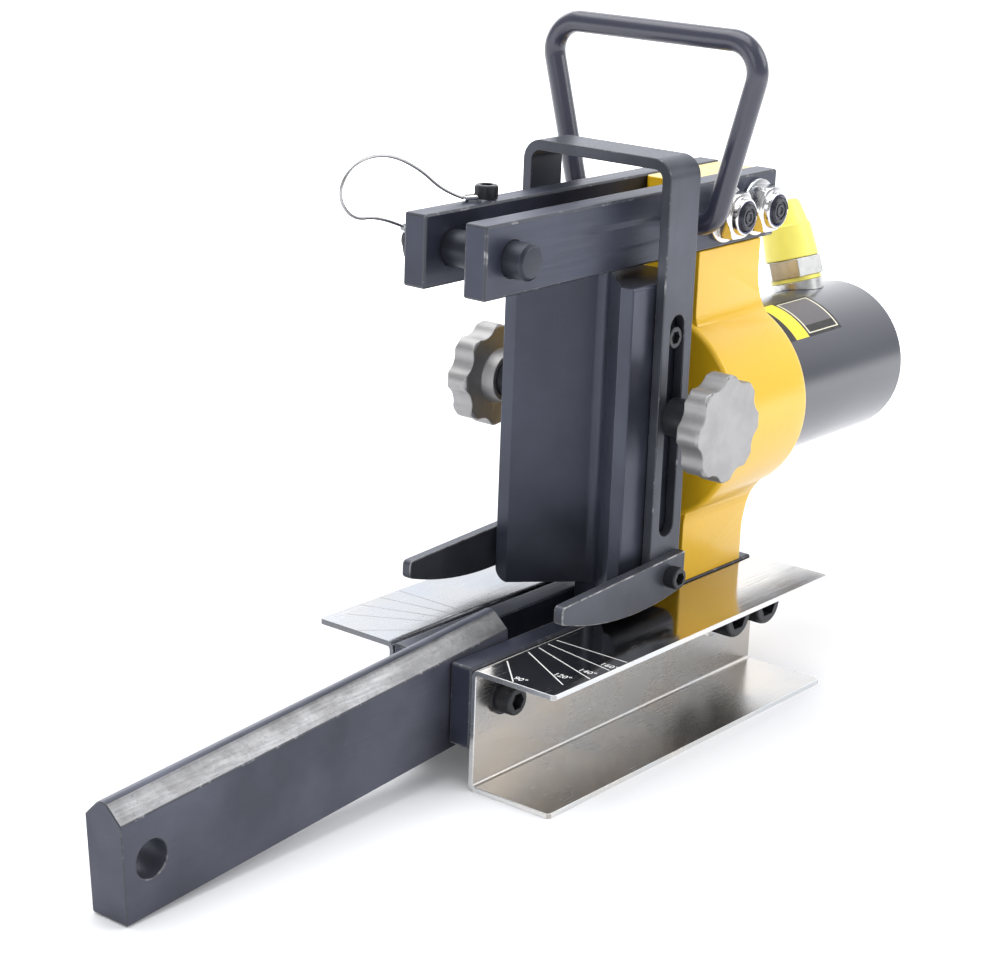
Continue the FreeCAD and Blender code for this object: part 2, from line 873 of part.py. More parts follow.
def star_outline():
    """Round lobes joined by tangent hollows, about the Z axis."""
    step = math.pi / knob_lobes
    lobe_reach = knob_radius - knob_lobe_radius
    lean_in = math.cos(step)
    valley = knob_valley_radius
    top = knob_lobe_radius ** 2 - lobe_reach ** 2 - valley ** 2 + 2 * lobe_reach * valley * lean_in
    hollow = top / (2 * valley - 2 * knob_lobe_radius - 2 * lobe_reach * lean_in)
    hollow_reach = valley + hollow

    def polar(reach, angle):
        return V(reach * math.cos(angle), reach * math.sin(angle), 0)

    edges = []
    for lobe in range(knob_lobes):
        middle = 2 * step * lobe
        centre = polar(lobe_reach, middle)
        before = polar(hollow_reach, middle - step)
        after = polar(hollow_reach, middle + step)
        start = centre + (before - centre).normalize() * knob_lobe_radius
        end = centre + (after - centre).normalize() * knob_lobe_radius
        following = polar(lobe_reach, middle + 2 * step)
        next_start = following + (after - following).normalize() * knob_lobe_radius
        edges.append(Part.Arc(start, polar(knob_radius, middle), end).toShape())
        edges.append(Part.Arc(end, polar(valley, middle + step), next_start).toShape())
    return Part.Wire(edges)


def clamp_knob(side):
    """The cast star with its collar, which takes the end of the hub."""
    star = Part.Face(star_outline()).extrude(V(0, 0, knob_thickness))
    dome = turned([(0, 0, 0), (0, knob_radius - knob_edge, 0), (knob_edge, knob_radius + fit, 0),
                   (knob_thickness - knob_edge, knob_radius + fit, 0),
                   (knob_thickness, knob_radius - knob_edge, 0), (knob_thickness, 0, 0)],
                  V(0, 0, 0), V(0, 0, 1))
    star = placed(star.common(dome), V(leg_centre, side * disc_start, knob_height), V(0, side, 0))
    collar = turned([(0, hub_radius + fit, 0), (0, collar_radius, 0),
                     (collar_length, collar_radius + collar_taper, 0), (collar_length, hub_radius + fit, 0)],
                    V(leg_centre, side * (disc_start - collar_length), knob_height), V(0, side, 0))
    return fused([star, collar])


def clamp_stud(side):
    return fused([
        rod_y(hub_radius, leg_centre, knob_height, side * hub_start, side * disc_start),
        rod_y(stud_radius, leg_centre, knob_height, side * (die_half_width - stud_depth), side * hub_start),
    ])


# Carry handle

def carry_handle():
    half = [
        (outer_face - handle_foot_depth, bar_centre, 0), (handle_foot_half, bar_centre, handle_foot_bend),
        (handle_top_half, handle_top, handle_top_bend),
    ]
    near = [(V(handle_x, -y, z), corner) for y, z, corner in half]
    far = [(V(handle_x, y, z), corner) for y, z, corner in reversed(half)]
    return tube(near + far, handle_radius)


# Quick coupler and dust cap, in stages outwards from the barrel

ring_start = barrel_radius + coupler_base_height
hex_start = ring_start + coupler_ring_height
nipple_start = hex_start + coupler_hex_height
nipple_end = nipple_start + nipple_height
cap_start = nipple_start + cap_bore_gap


def passage():
    return rod(port_radius, on_coupler(bore_radius), on_coupler(nipple_end + overrun))


def coupler_base():
    """A saddle on the barrel with a spigot in its port."""
    saddle = rod(coupler_base_radius, on_coupler(bore_radius), on_coupler(ring_start))
    saddle = saddle.cut(rod_x(barrel_radius, coupler_x - barrel_radius, coupler_x + barrel_radius))
    spigot = rod(port_spigot_radius, on_coupler(barrel_radius - spigot_length), on_coupler(ring_start))
    return fused([saddle, spigot]).cut(passage())


def coupler_ring():
    return ring(coupler_ring_radius, port_spigot_radius, on_coupler(ring_start), on_coupler(hex_start))


def coupler_body():
    hexagon_part = hexagon(coupler_hex, coupler_hex_height, on_coupler(hex_start), lean, coupler_turn)
    nipple = turned([(0, 0, 0), (0, nipple_radius, 0), (nipple_height, nipple_radius, nipple_edge),
                     (nipple_height, 0, 0)], on_coupler(nipple_start), lean)
    return fused([hexagon_part, nipple]).cut(passage())


def dust_cap():
    """A tapered skirt with a narrower domed top, over the nipple."""
    bore = nipple_radius + cap_bore_gap
    return turned(
        [(0, bore, 0), (0, cap_foot_radius, cap_edge), (cap_shoulder, cap_shoulder_radius, cap_edge),
         (cap_shoulder, cap_shoulder_radius - cap_step, 0), (cap_height, cap_top_radius, cap_top_round),
         (cap_height, 0, 0), (cap_bore_depth, 0, 0), (cap_bore_depth, bore, 0)],
        on_coupler(cap_start), lean)


# Lanyard of the locking pin

far_bar_middle = (inner_face + outer_face) / 2
pin_face = outer_face + head_gap + pin_head_length


def eyelet(seat, normal, crimp_way):
    """A flat ring under a screw, with a crimped sleeve that ends at the reach."""
    flat = rod(eyelet_radius, seat, seat + normal * eyelet_sheet)
    side = normal.cross(crimp_way) * (crimp_radius * tab_share)
    tab_end = seat + crimp_way * (crimp_reach - crimp_radius)
    tab = prism([(point, 0) for point in (seat - side, tab_end - side, tab_end + side, seat + side)],
                normal * eyelet_sheet)
    axis = seat + normal * (crimp_radius + crimp_gap)
    sleeve = rod(crimp_radius, axis + crimp_way * (light_head_radius + crimp_gap), axis + crimp_way * crimp_reach)
    hole = rod(light_screw_radius + fit, seat - normal * overrun, seat + normal * overrun)
    return fused([flat, tab, sleeve]).cut(hole)


def turned_way(degrees, plane_z):
    """A unit direction turned from X towards Y, or towards Z where the plane stands up."""
    angle = math.radians(degrees)
    return V(math.cos(angle), 0, math.sin(angle)) if plane_z else V(math.cos(angle), math.sin(angle), 0)


bar_seat = V(lanyard_screw_x, far_bar_middle, bar_top)
pin_seat = V(pivot_x, pin_face, pin_height)
bar_crimp_way = turned_way(crimp_turn, False)
pin_crimp_way = turned_way(pin_crimp_turn, True)


def lanyard_screw(seat, normal):
    return socket_screw(light_screw_radius, light_thread, light_head_radius, light_head,
                        seat + normal * eyelet_sheet, normal)


wire_start = bar_seat + V(0, 0, crimp_radius + crimp_gap) + bar_crimp_way * (crimp_reach + wire_gap)
wire_finish = pin_seat + V(0, crimp_radius + crimp_gap, 0) + pin_crimp_way * (crimp_reach + wire_gap)
between = len(wire_loop_shares) + 1
wire_route = [wire_start]
for place, shares in enumerate(wire_loop_shares, 1):
    on_chord = wire_start + (wire_finish - wire_start) * (place / between)
    wire_route.append(on_chord + V(*shares) * wire_loop_reach)
wire_route.append(wire_finish)


def lanyard_wire():
    """The springy wire loop, as short runs joined by large tangent arcs."""
    corners = [(wire_route[0], 0)]
    for before, point, after in zip(wire_route, wire_route[1:], wire_route[2:]):
        run = min((point - before).Length, (after - point).Length)
        half = (before - point).getAngle(after - point) / 2
        radius = arc_share * run * math.tan(half)
        corners.append((point, radius))
        print("wire bend radius", round(radius, 1))
    corners.append((wire_route[-1], 0))
    wire = tube(corners, wire_diameter / 2)
    path = Part.Wire(rounded_edges(corners, closed=False))
    section = math.pi * wire_diameter ** 2 / 4
    print("wire length", round(path.Length, 1), "volume share", round(wire.Volume / (section * path.Length), 4))
    return wire


nodes = {
    "frame_casting": [frame_casting()],
    "cylinder_barrel": [cylinder_barrel()],
    "rod_bush": [rod_bush()],
    "rod_wiper": [rod_wiper()],
    "upper_bar_near": [upper_bar(False)],
    "upper_bar_far": [upper_bar(True)],
    "lower_rail_near": [lower_rail(False)],
    "lower_rail_far": [lower_rail(True)],
    "base_channel_near": [base_channel(False)],
    "base_channel_far": [base_channel(True)],
    "upper_bolts": upper_bolts(),
    "upper_nuts": upper_nuts(),
    "upper_washers": upper_washers(),
    "lower_bolts": lower_bolts(),
    "lower_nuts": lower_nuts(),
    "lower_washers": lower_washers(),
    "pivot_pin": [pivot_pin()],
    "pivot_screws": pivot_screws(),
    "pivot_washers": pivot_washers(),
    "carry_handle": [carry_handle()],
    "coupler_base": [coupler_base()],
    "coupler_ring": [coupler_ring()],
    "coupler_body": [coupler_body()],
    "lanyard_eyelet": [eyelet(bar_seat, V(0, 0, 1), bar_crimp_way)],
    "lanyard_screw": [lanyard_screw(bar_seat, V(0, 0, 1))],
    "lanyard_wire": [lanyard_wire()],
    "piston_rod": [piston_rod()],
    "piston": [piston()],
    "piston_seal": [piston_seal()],
    "return_spring": [return_spring()],
    "v_die": [v_die()],
    "die_key": [die_key()],
    "bracket_guide_screws": bracket_guide_screws(),
    "swing_arm": [swing_arm()],
    "lock_pin": [lock_pin()],
    "lock_pin_eyelet": [eyelet(pin_seat, V(0, 1, 0), pin_crimp_way)],
    "lock_pin_screw": [lanyard_screw(pin_seat, V(0, 1, 0))],
    "support_bracket": [support_bracket()],
    "support_finger_near": [support_finger(False)],
    "support_finger_far": [support_finger(True)],
    "finger_screws": finger_screws(),
    "clamp_knob_near": [clamp_knob(-1)],
    "clamp_stud_near": [clamp_stud(-1)],
    "clamp_knob_far": [clamp_knob(1)],
    "clamp_stud_far": [clamp_stud(1)],
    "dust_cap": [dust_cap()],
}

os.makedirs("parts", exist_ok=True)
for name, solids in nodes.items():
    shape = solids[0] if len(solids) == 1 else Part.makeCompound(solids)
    shape = shape.copy()
    shape.translate(V(-origin_x, 0, 0))
    assert shape.isValid(), name
    print(name, len(shape.Solids), round(shape.Volume))
    shape.exportStep("parts/" + name + ".step")
print("origin", round(origin_x, 4), "rest pitch", round(rest_pitch, 4), "wire ends", wire_start, wire_finish)
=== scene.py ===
"""Looks of a horizontal hydraulic bender for flat bar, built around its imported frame.

Lengths are in metres, or in millimetres where a docstring says so. +X runs back along the
cylinder, -Y is the near side and +Z is up.
"""

import logging
import math
from collections.abc import Callable, Iterable, Sequence
from dataclasses import dataclass
from enum import Enum
from typing import Any

import bmesh
import bpy
from mathutils import Matrix, Vector


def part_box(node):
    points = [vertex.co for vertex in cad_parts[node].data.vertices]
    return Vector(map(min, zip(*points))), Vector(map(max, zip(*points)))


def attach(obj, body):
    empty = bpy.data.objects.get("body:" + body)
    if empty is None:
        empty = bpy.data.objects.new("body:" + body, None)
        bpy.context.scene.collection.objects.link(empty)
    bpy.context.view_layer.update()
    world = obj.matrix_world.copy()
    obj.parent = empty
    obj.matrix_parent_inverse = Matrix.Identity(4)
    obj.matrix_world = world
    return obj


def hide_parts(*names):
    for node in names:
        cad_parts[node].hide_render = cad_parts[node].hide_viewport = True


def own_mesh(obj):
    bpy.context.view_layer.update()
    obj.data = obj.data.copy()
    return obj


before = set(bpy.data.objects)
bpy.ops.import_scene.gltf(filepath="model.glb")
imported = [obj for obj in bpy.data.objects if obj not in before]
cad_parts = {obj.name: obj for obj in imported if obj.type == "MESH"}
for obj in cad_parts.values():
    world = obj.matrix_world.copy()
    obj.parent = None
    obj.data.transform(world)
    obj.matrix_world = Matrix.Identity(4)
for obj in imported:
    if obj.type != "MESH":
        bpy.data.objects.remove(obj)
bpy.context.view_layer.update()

log = logging.getLogger("bender")

MM = 0.001
SAME_POINT = 1e-6

Rgb = tuple[float, float, float]
Point = tuple[float, float, float]
Span = tuple[float, float]
Seat = tuple[Point, Point, Point]
Profile = tuple[tuple[float, float], ...]
Socket = bpy.types.NodeSocket
Sockets = dict[str, Any]
FaceTest = Callable[[Vector, Vector], bool]

# Stretches of values: a whole share, where most of a noise's values lie, and its middle ones.
ALL: Span = (0.0, 1.0)
MOST: Span = (0.3, 0.7)
MIDDLE: Span = (0.35, 0.65)

UNTURNED: Point = (0.0, 0.0, 0.0)
UNIT: Point = (1.0, 1.0, 1.0)

# Degrees: edges below the first are shaded smooth, faces within the second are one flat face.
SMOOTH_BELOW = 32.0
FLAT_WITHIN = 0.1

# Parts of a face's normal: looking one way, leaning that way at all, and not leaning at all.
FACING = 0.95
ASLANT = 0.1
SQUARE_ON = 0.05
BEVEL_LEAN: Span = (-0.5, 0.4)

HEX_TURN = math.pi / 3
EDGE_SLOT = 1


class Side(Enum):
    """The two sides of the machine, as the sign of Y."""

    NEAR = -1
    FAR = 1


class Grain(Enum):
    """How far a surface pattern is squeezed along X, Y and Z."""

    EVEN = (1.0, 1.0, 1.0)
    ALONG_X = (0.03, 1.0, 1.0)
    ALONG_Y = (1.0, 0.03, 1.0)
    ALONG_Z = (1.0, 1.0, 0.03)


class Facing(Enum):
    """Which way a row of screw heads looks."""

    OUT = "to the sides"
    UP = "up"


class HeadSize(Enum):
    """Radius and length of a cap screw's head, in millimetres."""

    M6 = (5.0, 6.0)
    M8 = (6.5, 8.0)
    M14 = (10.5, 14.0)


# Finishes


@dataclass(frozen=True)
class Noise:
    """A noise pattern.

    Attributes:
        size: about how large its blots are, in millimetres.
        detail: how many finer layers it has.
        rough: how strong the finer layers are.
    """

    size: float
    detail: float = 2.0
    rough: float = 0.5


class NodeSheet:
    """Adds nodes to one node tree and joins their sockets."""

    def __init__(self, tree: bpy.types.NodeTree) -> None:
        """Keeps the tree that the nodes go into."""
        self.tree = tree

    def add(
        self, kind: str, inputs: dict[Any, Any] | None = None, **settings: Any
    ) -> bpy.types.Node:
        """Adds one node.

        Args:
            kind: the node's type.
            inputs: values or sockets for its inputs, by socket name or number.
            settings: properties of the node itself.

        Returns:
            The new node.
        """
        node = self.tree.nodes.new(kind)
        for name, value in settings.items():
            setattr(node, name, value)
        for name, value in (inputs or {}).items():
            if isinstance(value, Socket):
                self.tree.links.new(value, node.inputs[name])
            else:
                node.inputs[name].default_value = value
        return node

    def math(self, operation: str, a: Any, b: Any = 0.0) -> Socket:
        """Works out one sum of two values."""
        return self.add("ShaderNodeMath", {0: a, 1: b}, operation=operation).outputs[0]

    def mix(self, share: Any, a: Any, b: Any) -> Socket:
        """Mixes two colours, from a where share is 0 to b where it is 1."""
        colours = {0: share, 6: rgba(a), 7: rgba(b)}
        return self.add("ShaderNodeMix", colours, data_type="RGBA").outputs[2]

    def spread(self, value: Any, source: Span, target: Span = ALL) -> Socket:
        """Maps one stretch of values onto another, with no value outside it."""
        ends = {0: value, 1: source[0], 2: source[1], 3: target[0], 4: target[1]}
        return self.add("ShaderNodeMapRange", ends).outputs[0]

    def place(self, grain: Grain = Grain.EVEN, turn: Point = UNTURNED) -> Socket:
        """Gives the object's own coordinates, squeezed along a grain and turned."""
        point = self.add("ShaderNodeTexCoord").outputs["Object"]
        inputs = {"Vector": point, "Rotation": turn, "Scale": grain.value}
        return self.add("ShaderNodeMapping", inputs).outputs[0]

    def noise(
        self, pattern: Noise, grain: Grain = Grain.EVEN, turn: Point = UNTURNED
    ) -> Socket:
        """Adds a noise.

        Args:
            pattern: its size and detail.
            grain: how it is squeezed.
            turn: how it is turned, in radians about X, Y and Z.

        Returns:
            Its values, from 0 to 1.
        """
        inputs = {
            "Vector": self.place(grain, turn),
            "Scale": 1.0 / (pattern.size * MM),
            "Detail": pattern.detail,
            "Roughness": pattern.rough,
        }
        return self.add("ShaderNodeTexNoise", inputs).outputs[0]

    def bump(self, height: Any, depth: float, strength: float, under: Any = None) -> Socket:
        """Turns a height into relief.

        Args:
            height: the height, from 0 to 1.
            depth: the relief's depth, in millimetres.
            strength: how much of it shows.
            under: the normal of the relief that it lies on.

        Returns:
            The normal.
        """
        inputs = {"Height": height, "Distance": depth * MM, "Strength": strength}
        if under is not None:
            inputs["Normal"] = under
        return self.add("ShaderNodeBump", inputs).outputs[0]


def rgba(colour: Any) -> Any:
    """Adds full opacity to a colour, and lets a socket through."""
    return (*colour, 1.0) if isinstance(colour, tuple) else colour


def shade(colour: Rgb, share: float, lift: float = 0.0) -> Rgb:
    """Makes a colour lighter or darker by a share, and lifts it evenly."""
    return tuple(c * share + lift for c in colour)


def either_way(reach: float) -> Span:
    """Gives the stretch that reaches as far below nought as above it."""
    return (-reach, reach)


@dataclass(frozen=True)
class Finish:
    """A surface finish, which makes its material once.

    Attributes:
        name: the material's name.
        colour: its main colour, linear.
        roughness: its middle roughness.
    """

    name: str
    colour: Rgb
    roughness: float

    def material(self) -> bpy.types.Material:
        """Makes the material, or gives the one already made."""
        made = bpy.data.materials.get(self.name)
        if made is None:
            made = bpy.data.materials.new(self.name)
            made.use_nodes = True
            made.node_tree.nodes.clear()
            sheet = NodeSheet(made.node_tree)
            shader = sheet.add("ShaderNodeBsdfPrincipled", self.sockets(sheet))
            sheet.add("ShaderNodeOutputMaterial", {"Surface": shader.outputs[0]})
        return made

    def sockets(self, sheet: NodeSheet) -> Sockets:
        """Gives the values and links of the shader's inputs."""
        raise NotImplementedError

    def roughened(self, sheet: NodeSheet, pattern: Any, change: Span) -> Socket:
        """Changes the roughness with a pattern, by as much as the given stretch."""
        return sheet.math("ADD", sheet.spread(pattern, MOST, change), self.roughness)

    def clouded(self, sheet: NodeSheet, pattern: Any, share: float) -> Socket:
        """Darkens the colour to a share of itself where a pattern is low."""
        return sheet.mix(sheet.spread(pattern, MIDDLE), shade(self.colour, share), self.colour)


@dataclass(frozen=True)
class BlackedSteel(Finish):
    """Machined steel with a satin black oxide: grinding lines, cloudy tone and handling marks.

    Attributes:
        grain: the way of the grinding lines.
        tone: how much lighter and darker the clouds are, as a share.
        relief: depth of the lines, in millimetres.
        streaks: how much the lines change the roughness.
    """

    grain: Grain = Grain.EVEN
    tone: float = 0.35
    relief: float = 0.012
    streaks: float = 0.055
    clouds: Noise = Noise(42.0, 3.0)
    lines: Noise = Noise(1.1, 3.0, 0.6)
    specks: Noise = Noise(2.4, 4.0, 0.7)
    cloud_span: Span = (0.35, 0.68)
    cloud_lift: float = 0.004
    cloudiness: float = 0.05
    mark_span: Span = (0.66, 0.8)
    mark_share: float = 0.55
    mark_tone: float = 2.6
    mark_relief: float = 0.01

    def sockets(self, sheet: NodeSheet) -> Sockets:
        """Gives the values and links of the shader's inputs."""
        clouds = sheet.noise(self.clouds)
        lines = sheet.noise(self.lines, self.grain)
        specks = sheet.noise(self.specks)
        lighter = shade(self.colour, 1 + self.tone, self.cloud_lift)
        darker = shade(self.colour, 1 - self.tone)
        base = sheet.mix(sheet.spread(clouds, self.cloud_span), darker, lighter)
        marks = sheet.spread(specks, self.mark_span, (0.0, self.mark_share))
        cloudy = sheet.spread(clouds, MOST, either_way(self.cloudiness))
        streaky = sheet.spread(lines, MOST, either_way(self.streaks))
        rough = sheet.math("ADD", cloudy, streaky)
        fine = sheet.bump(lines, self.relief, strength=0.8)
        return {
            "Base Color": sheet.mix(marks, base, shade(self.colour, self.mark_tone)),
            "Metallic": 0.2,
            "Roughness": sheet.math("ADD", rough, self.roughness),
            "IOR": 1.6,
            "Specular Tint": (0.80, 0.86, 1.0, 1.0),
            "Normal": sheet.bump(specks, self.mark_relief, strength=0.5, under=fine),
        }


@dataclass(frozen=True)
class WornEdge(Finish):
    """The eased edge of a blacked part, where handling has rubbed the black off in places.

    Attributes:
        under: the bare metal's colour.
        worn: how much of the edge is bare, as a share.
    """

    under: Rgb = (0.34, 0.34, 0.35)
    worn: float = 0.5
    rubs: Noise = Noise(7.0, 5.0, 0.65)
    unworn_span: Span = (0.62, 0.78)
    wear_reach: float = 0.3

    def sockets(self, sheet: NodeSheet) -> Sockets:
        """Gives the values and links of the shader's inputs."""
        rubs = sheet.noise(self.rubs)
        low, high = (end - self.wear_reach * self.worn for end in self.unworn_span)
        bare = sheet.spread(rubs, (low, high))
        return {
            "Base Color": sheet.mix(bare, self.colour, self.under),
            "Metallic": sheet.spread(bare, ALL, (0.25, 0.9)),
            "Roughness": self.roughened(sheet, rubs, either_way(0.06)),
            "Normal": sheet.bump(rubs, depth=0.03, strength=0.4),
        }


@dataclass(frozen=True)
class SprayPaint(Finish):
    """Paint on metal with the faint peel of a spray gun over what is under it.

    Attributes:
        peel: depth of the peel, in millimetres.
        casting: depth of the casting's skin under it, in millimetres.
        coat: how much clear gloss lies on top.
        coat_roughness: that gloss's roughness.
    """

    peel: float = 0.035
    casting: float = 0.0
    coat: float = 0.4
    coat_roughness: float = 0.12
    clouds: Noise = Noise(55.0, 2.0)
    peel_noise: Noise = Noise(2.6, 1.0)
    skin: Noise = Noise(5.5, 4.0, 0.6)
    dust: Noise = Noise(1.3, 2.0)
    dust_span: Span = (0.72, 0.8)
    dust_share: float = 0.35

    def sockets(self, sheet: NodeSheet) -> Sockets:
        """Gives the values and links of the shader's inputs."""
        clouds = sheet.noise(self.clouds)
        dust = sheet.spread(sheet.noise(self.dust), self.dust_span, (0.0, self.dust_share))
        dusty = shade(self.colour, 0.6, lift=0.05)
        peel = sheet.bump(sheet.noise(self.peel_noise), self.peel, strength=0.6)
        skin = sheet.noise(self.skin)
        return {
            "Base Color": sheet.mix(dust, self.clouded(sheet, clouds, 0.94), dusty),
            "Roughness": self.roughened(sheet, clouds, (-0.03, 0.04)),
            "Coat Weight": self.coat,
            "Coat Roughness": self.coat_roughness,
            "Normal": sheet.bump(skin, self.casting, strength=0.7, under=peel),
        }


@dataclass(frozen=True)
class ZincPlate(Finish):
    """Bright zinc on steel: rolled lines, tints of the passivation and scratches of use.

    Attributes:
        grain: the way of the rolled lines.
        scratches: how clear the slanting scratches are.
        relief: depth of lines and scratches, in millimetres.
        streaks: how much the lines change the roughness.
    """

    grain: Grain = Grain.ALONG_X
    scratches: float = 0.3
    relief: float = 0.02
    streaks: float = 0.06
    clouds: Noise = Noise(38.0, 3.0)
    lines: Noise = Noise(0.8, 4.0, 0.6)
    cuts: Noise = Noise(0.9, 2.0)
    cut_turn: Point = (0.0, 0.0, 0.7)
    cut_span: Span = (0.66, 0.72)
    cut_share: float = 0.5
    cut_colour: Rgb = (0.9, 0.9, 0.9)
    warm: Rgb = (1.0, 0.97, 0.92)
    cool: Rgb = (0.94, 0.97, 1.0)
    smoothest: float = 0.03

    def sockets(self, sheet: NodeSheet) -> Sockets:
        """Gives the values and links of the shader's inputs."""
        clouds = sheet.noise(self.clouds)
        lines = sheet.noise(self.lines, self.grain)
        slanted = sheet.noise(self.cuts, Grain.ALONG_X, self.cut_turn)
        cuts = sheet.spread(slanted, self.cut_span, (0.0, self.scratches))
        faint = sheet.math("MULTIPLY", cuts, self.cut_share)
        warm, cool = (
            tuple(c * t for c, t in zip(self.colour, tint)) for tint in (self.warm, self.cool)
        )
        base = sheet.mix(sheet.spread(clouds, MIDDLE), warm, cool)
        streaks = sheet.spread(lines, MOST, either_way(self.streaks))
        rough = sheet.math("ADD", streaks, sheet.spread(clouds, MOST, (-0.04, 0.05)))
        rough = sheet.math("ADD", sheet.math("ADD", rough, faint), self.roughness)
        return {
            "Base Color": sheet.mix(faint, base, self.cut_colour),
            "Metallic": 1.0,
            "Roughness": sheet.math("MAXIMUM", rough, self.smoothest),
            "Normal": sheet.bump(sheet.math("ADD", lines, cuts), self.relief, strength=0.5),
        }


@dataclass(frozen=True)
class GroundSteel(Finish):
    """Bare ground steel, rubbed and stained by the work pushed along it.

    Attributes:
        grain: the way of the grinding lines.
    """

    grain: Grain = Grain.ALONG_X
    lines: Noise = Noise(1.2, 4.0, 0.65)
    stains: Noise = Noise(14.0, 7.0, 0.76)
    stain_span: Span = (0.42, 0.6)
    pits: Noise = Noise(1.6, 3.0, 0.7)
    pit_span: Span = (0.6, 0.7)
    pit_share: float = 0.6

    def sockets(self, sheet: NodeSheet) -> Sockets:
        """Gives the values and links of the shader's inputs."""
        lines = sheet.noise(self.lines, self.grain)
        stains = sheet.spread(sheet.noise(self.stains), self.stain_span)
        pits = sheet.spread(sheet.noise(self.pits), self.pit_span, (0.0, self.pit_share))
        base = sheet.mix(stains, shade(self.colour, 0.72), self.colour)
        relief = sheet.math("SUBTRACT", lines, pits)
        return {
            "Base Color": sheet.mix(pits, base, shade(self.colour, 0.45)),
            "Metallic": 0.85,
            "Roughness": self.roughened(sheet, lines, (-0.1, 0.12)),
            "Normal": sheet.bump(relief, depth=0.04, strength=0.6),
        }


@dataclass(frozen=True)
class BlastedCasting(Finish):
    """A light metal casting with a shot-blasted skin."""

    skin: Noise = Noise(0.55, 3.0, 0.7)
    clouds: Noise = Noise(11.0, 3.0)
    glint_span: Span = (0.6, 0.75)
    glint_share: float = 0.5
    glint: Rgb = (0.82, 0.82, 0.82)

    def sockets(self, sheet: NodeSheet) -> Sockets:
        """Gives the values and links of the shader's inputs."""
        skin = sheet.noise(self.skin)
        base = self.clouded(sheet, sheet.noise(self.clouds), 0.86)
        glints = sheet.spread(skin, self.glint_span, (0.0, self.glint_share))
        return {
            "Base Color": sheet.mix(glints, base, self.glint),
            "Metallic": 0.8,
            "Roughness": self.roughened(sheet, skin, either_way(0.08)),
            "Normal": sheet.bump(skin, depth=0.07, strength=0.7),
        }


@dataclass(frozen=True)
class Moulding(Finish):
    """Moulded plastic or rubber with a faint tool texture, or a print of thick ink."""

    texture: Noise = Noise(0.9, 2.0)
    clouds: Noise = Noise(12.0, 2.0)

    def sockets(self, sheet: NodeSheet) -> Sockets:
        """Gives the values and links of the shader's inputs."""
        texture = sheet.noise(self.texture)
        clouds = sheet.spread(sheet.noise(self.clouds), MOST)
        return {
            "Base Color": sheet.mix(clouds, shade(self.colour, 0.93), self.colour),
            "Roughness": self.roughened(sheet, texture, (-0.04, 0.05)),
            "Normal": sheet.bump(texture, depth=0.02, strength=0.5),
        }


@dataclass(frozen=True)
class TurnedMetal(Finish):
    """Machined metal: screws, wire, bushes and plated fittings.

    Attributes:
        metallic: how much of it is bare metal rather than a dark skin.
        relief: depth of the tool's marks, in millimetres.
    """

    metallic: float = 1.0
    relief: float = 0.006
    marks: Noise = Noise(0.7, 3.0, 0.6)
    clouds: Noise = Noise(6.0, 3.0)

    def sockets(self, sheet: NodeSheet) -> Sockets:
        """Gives the values and links of the shader's inputs."""
        marks = sheet.noise(self.marks)
        return {
            "Base Color": self.clouded(sheet, sheet.noise(self.clouds), 0.8),
            "Metallic": self.metallic,
            "Roughness": self.roughened(sheet, marks, (-0.07, 0.08)),
            "Normal": sheet.bump(marks, self.relief, strength=0.5),
        }


@dataclass(frozen=True)
class BarePlate(Finish):
    """The bare sticker on the barrel, by its own UV map: U runs along it and V round the barrel.

    Attributes:
        band: colour of the yellow band.
        band_ends: where the band begins and ends, as shares of the length.
        border: colour of the thin border round the panel.
        border_width: its width, as a share.
        panel_along: where the panel begins and ends along the sticker.
        panel_around: where it begins and ends round the barrel.
        field: colour of the greyer field inside the border.
        field_around: where that field begins and ends round the barrel.
    """

    band: Rgb = (0.86, 0.72, 0.05)
    band_ends: Span = (0.17, 0.40)
    border: Rgb = (0.78, 0.76, 0.6)
    border_width: float = 0.022
    panel_along: Span = (0.43, 0.97)
    panel_around: Span = (0.06, 0.94)
    field: Rgb = (0.12, 0.11, 0.12)
    field_around: Span = (0.09, 0.76)
    dust: Noise = Noise(8.0, 3.0)
    dust_span: Span = (0.5, 0.8)
    dust_share: float = 0.12
    dust_colour: Rgb = (0.3, 0.3, 0.3)

    def sockets(self, sheet: NodeSheet) -> Sockets:
        """Gives the values and links of the shader's inputs."""
        split = sheet.add("ShaderNodeSeparateXYZ", {0: sheet.add("ShaderNodeUVMap").outputs[0]})
        along, around = split.outputs[0], split.outputs[1]
        panel = self.inside(sheet, along, around, 0.0)
        inner = self.inside(sheet, along, around, self.border_width)
        field = sheet.math("MULTIPLY", inner, self.between(sheet, around, *self.field_around))
        dust = sheet.noise(self.dust)
        dusty = sheet.spread(dust, self.dust_span, (0.0, self.dust_share))
        base = sheet.mix(self.between(sheet, along, *self.band_ends), self.colour, self.band)
        base = sheet.mix(sheet.math("SUBTRACT", panel, inner), base, self.border)
        base = sheet.mix(field, base, self.field)
        return {
            "Base Color": sheet.mix(dusty, base, self.dust_colour),
            "Roughness": self.roughened(sheet, dust, either_way(0.05)),
        }

    def inside(self, sheet: NodeSheet, along: Socket, around: Socket, gap: float) -> Socket:
        """Gives 1 inside the panel, a gap away from its rim, and 0 elsewhere."""
        low, high = self.panel_along
        within = self.between(sheet, along, low + gap, high - gap)
        low, high = self.panel_around
        return sheet.math("MULTIPLY", within, self.between(sheet, around, low + gap, high - gap))

    def between(self, sheet: NodeSheet, value: Any, low: float, high: float) -> Socket:
        """Gives 1 where the value lies between low and high, and 0 elsewhere."""
        above = sheet.math("GREATER_THAN", value, low)
        return sheet.math("MULTIPLY", above, sheet.math("LESS_THAN", value, high))


BLACK = (0.028, 0.031, 0.050)
YELLOW = (0.93, 0.555, 0.013)
# A paler yellow for the tongue's flat top: a painted highlight for the light that top catches.
HIGHLIGHT_YELLOW = (0.80, 0.58, 0.05)

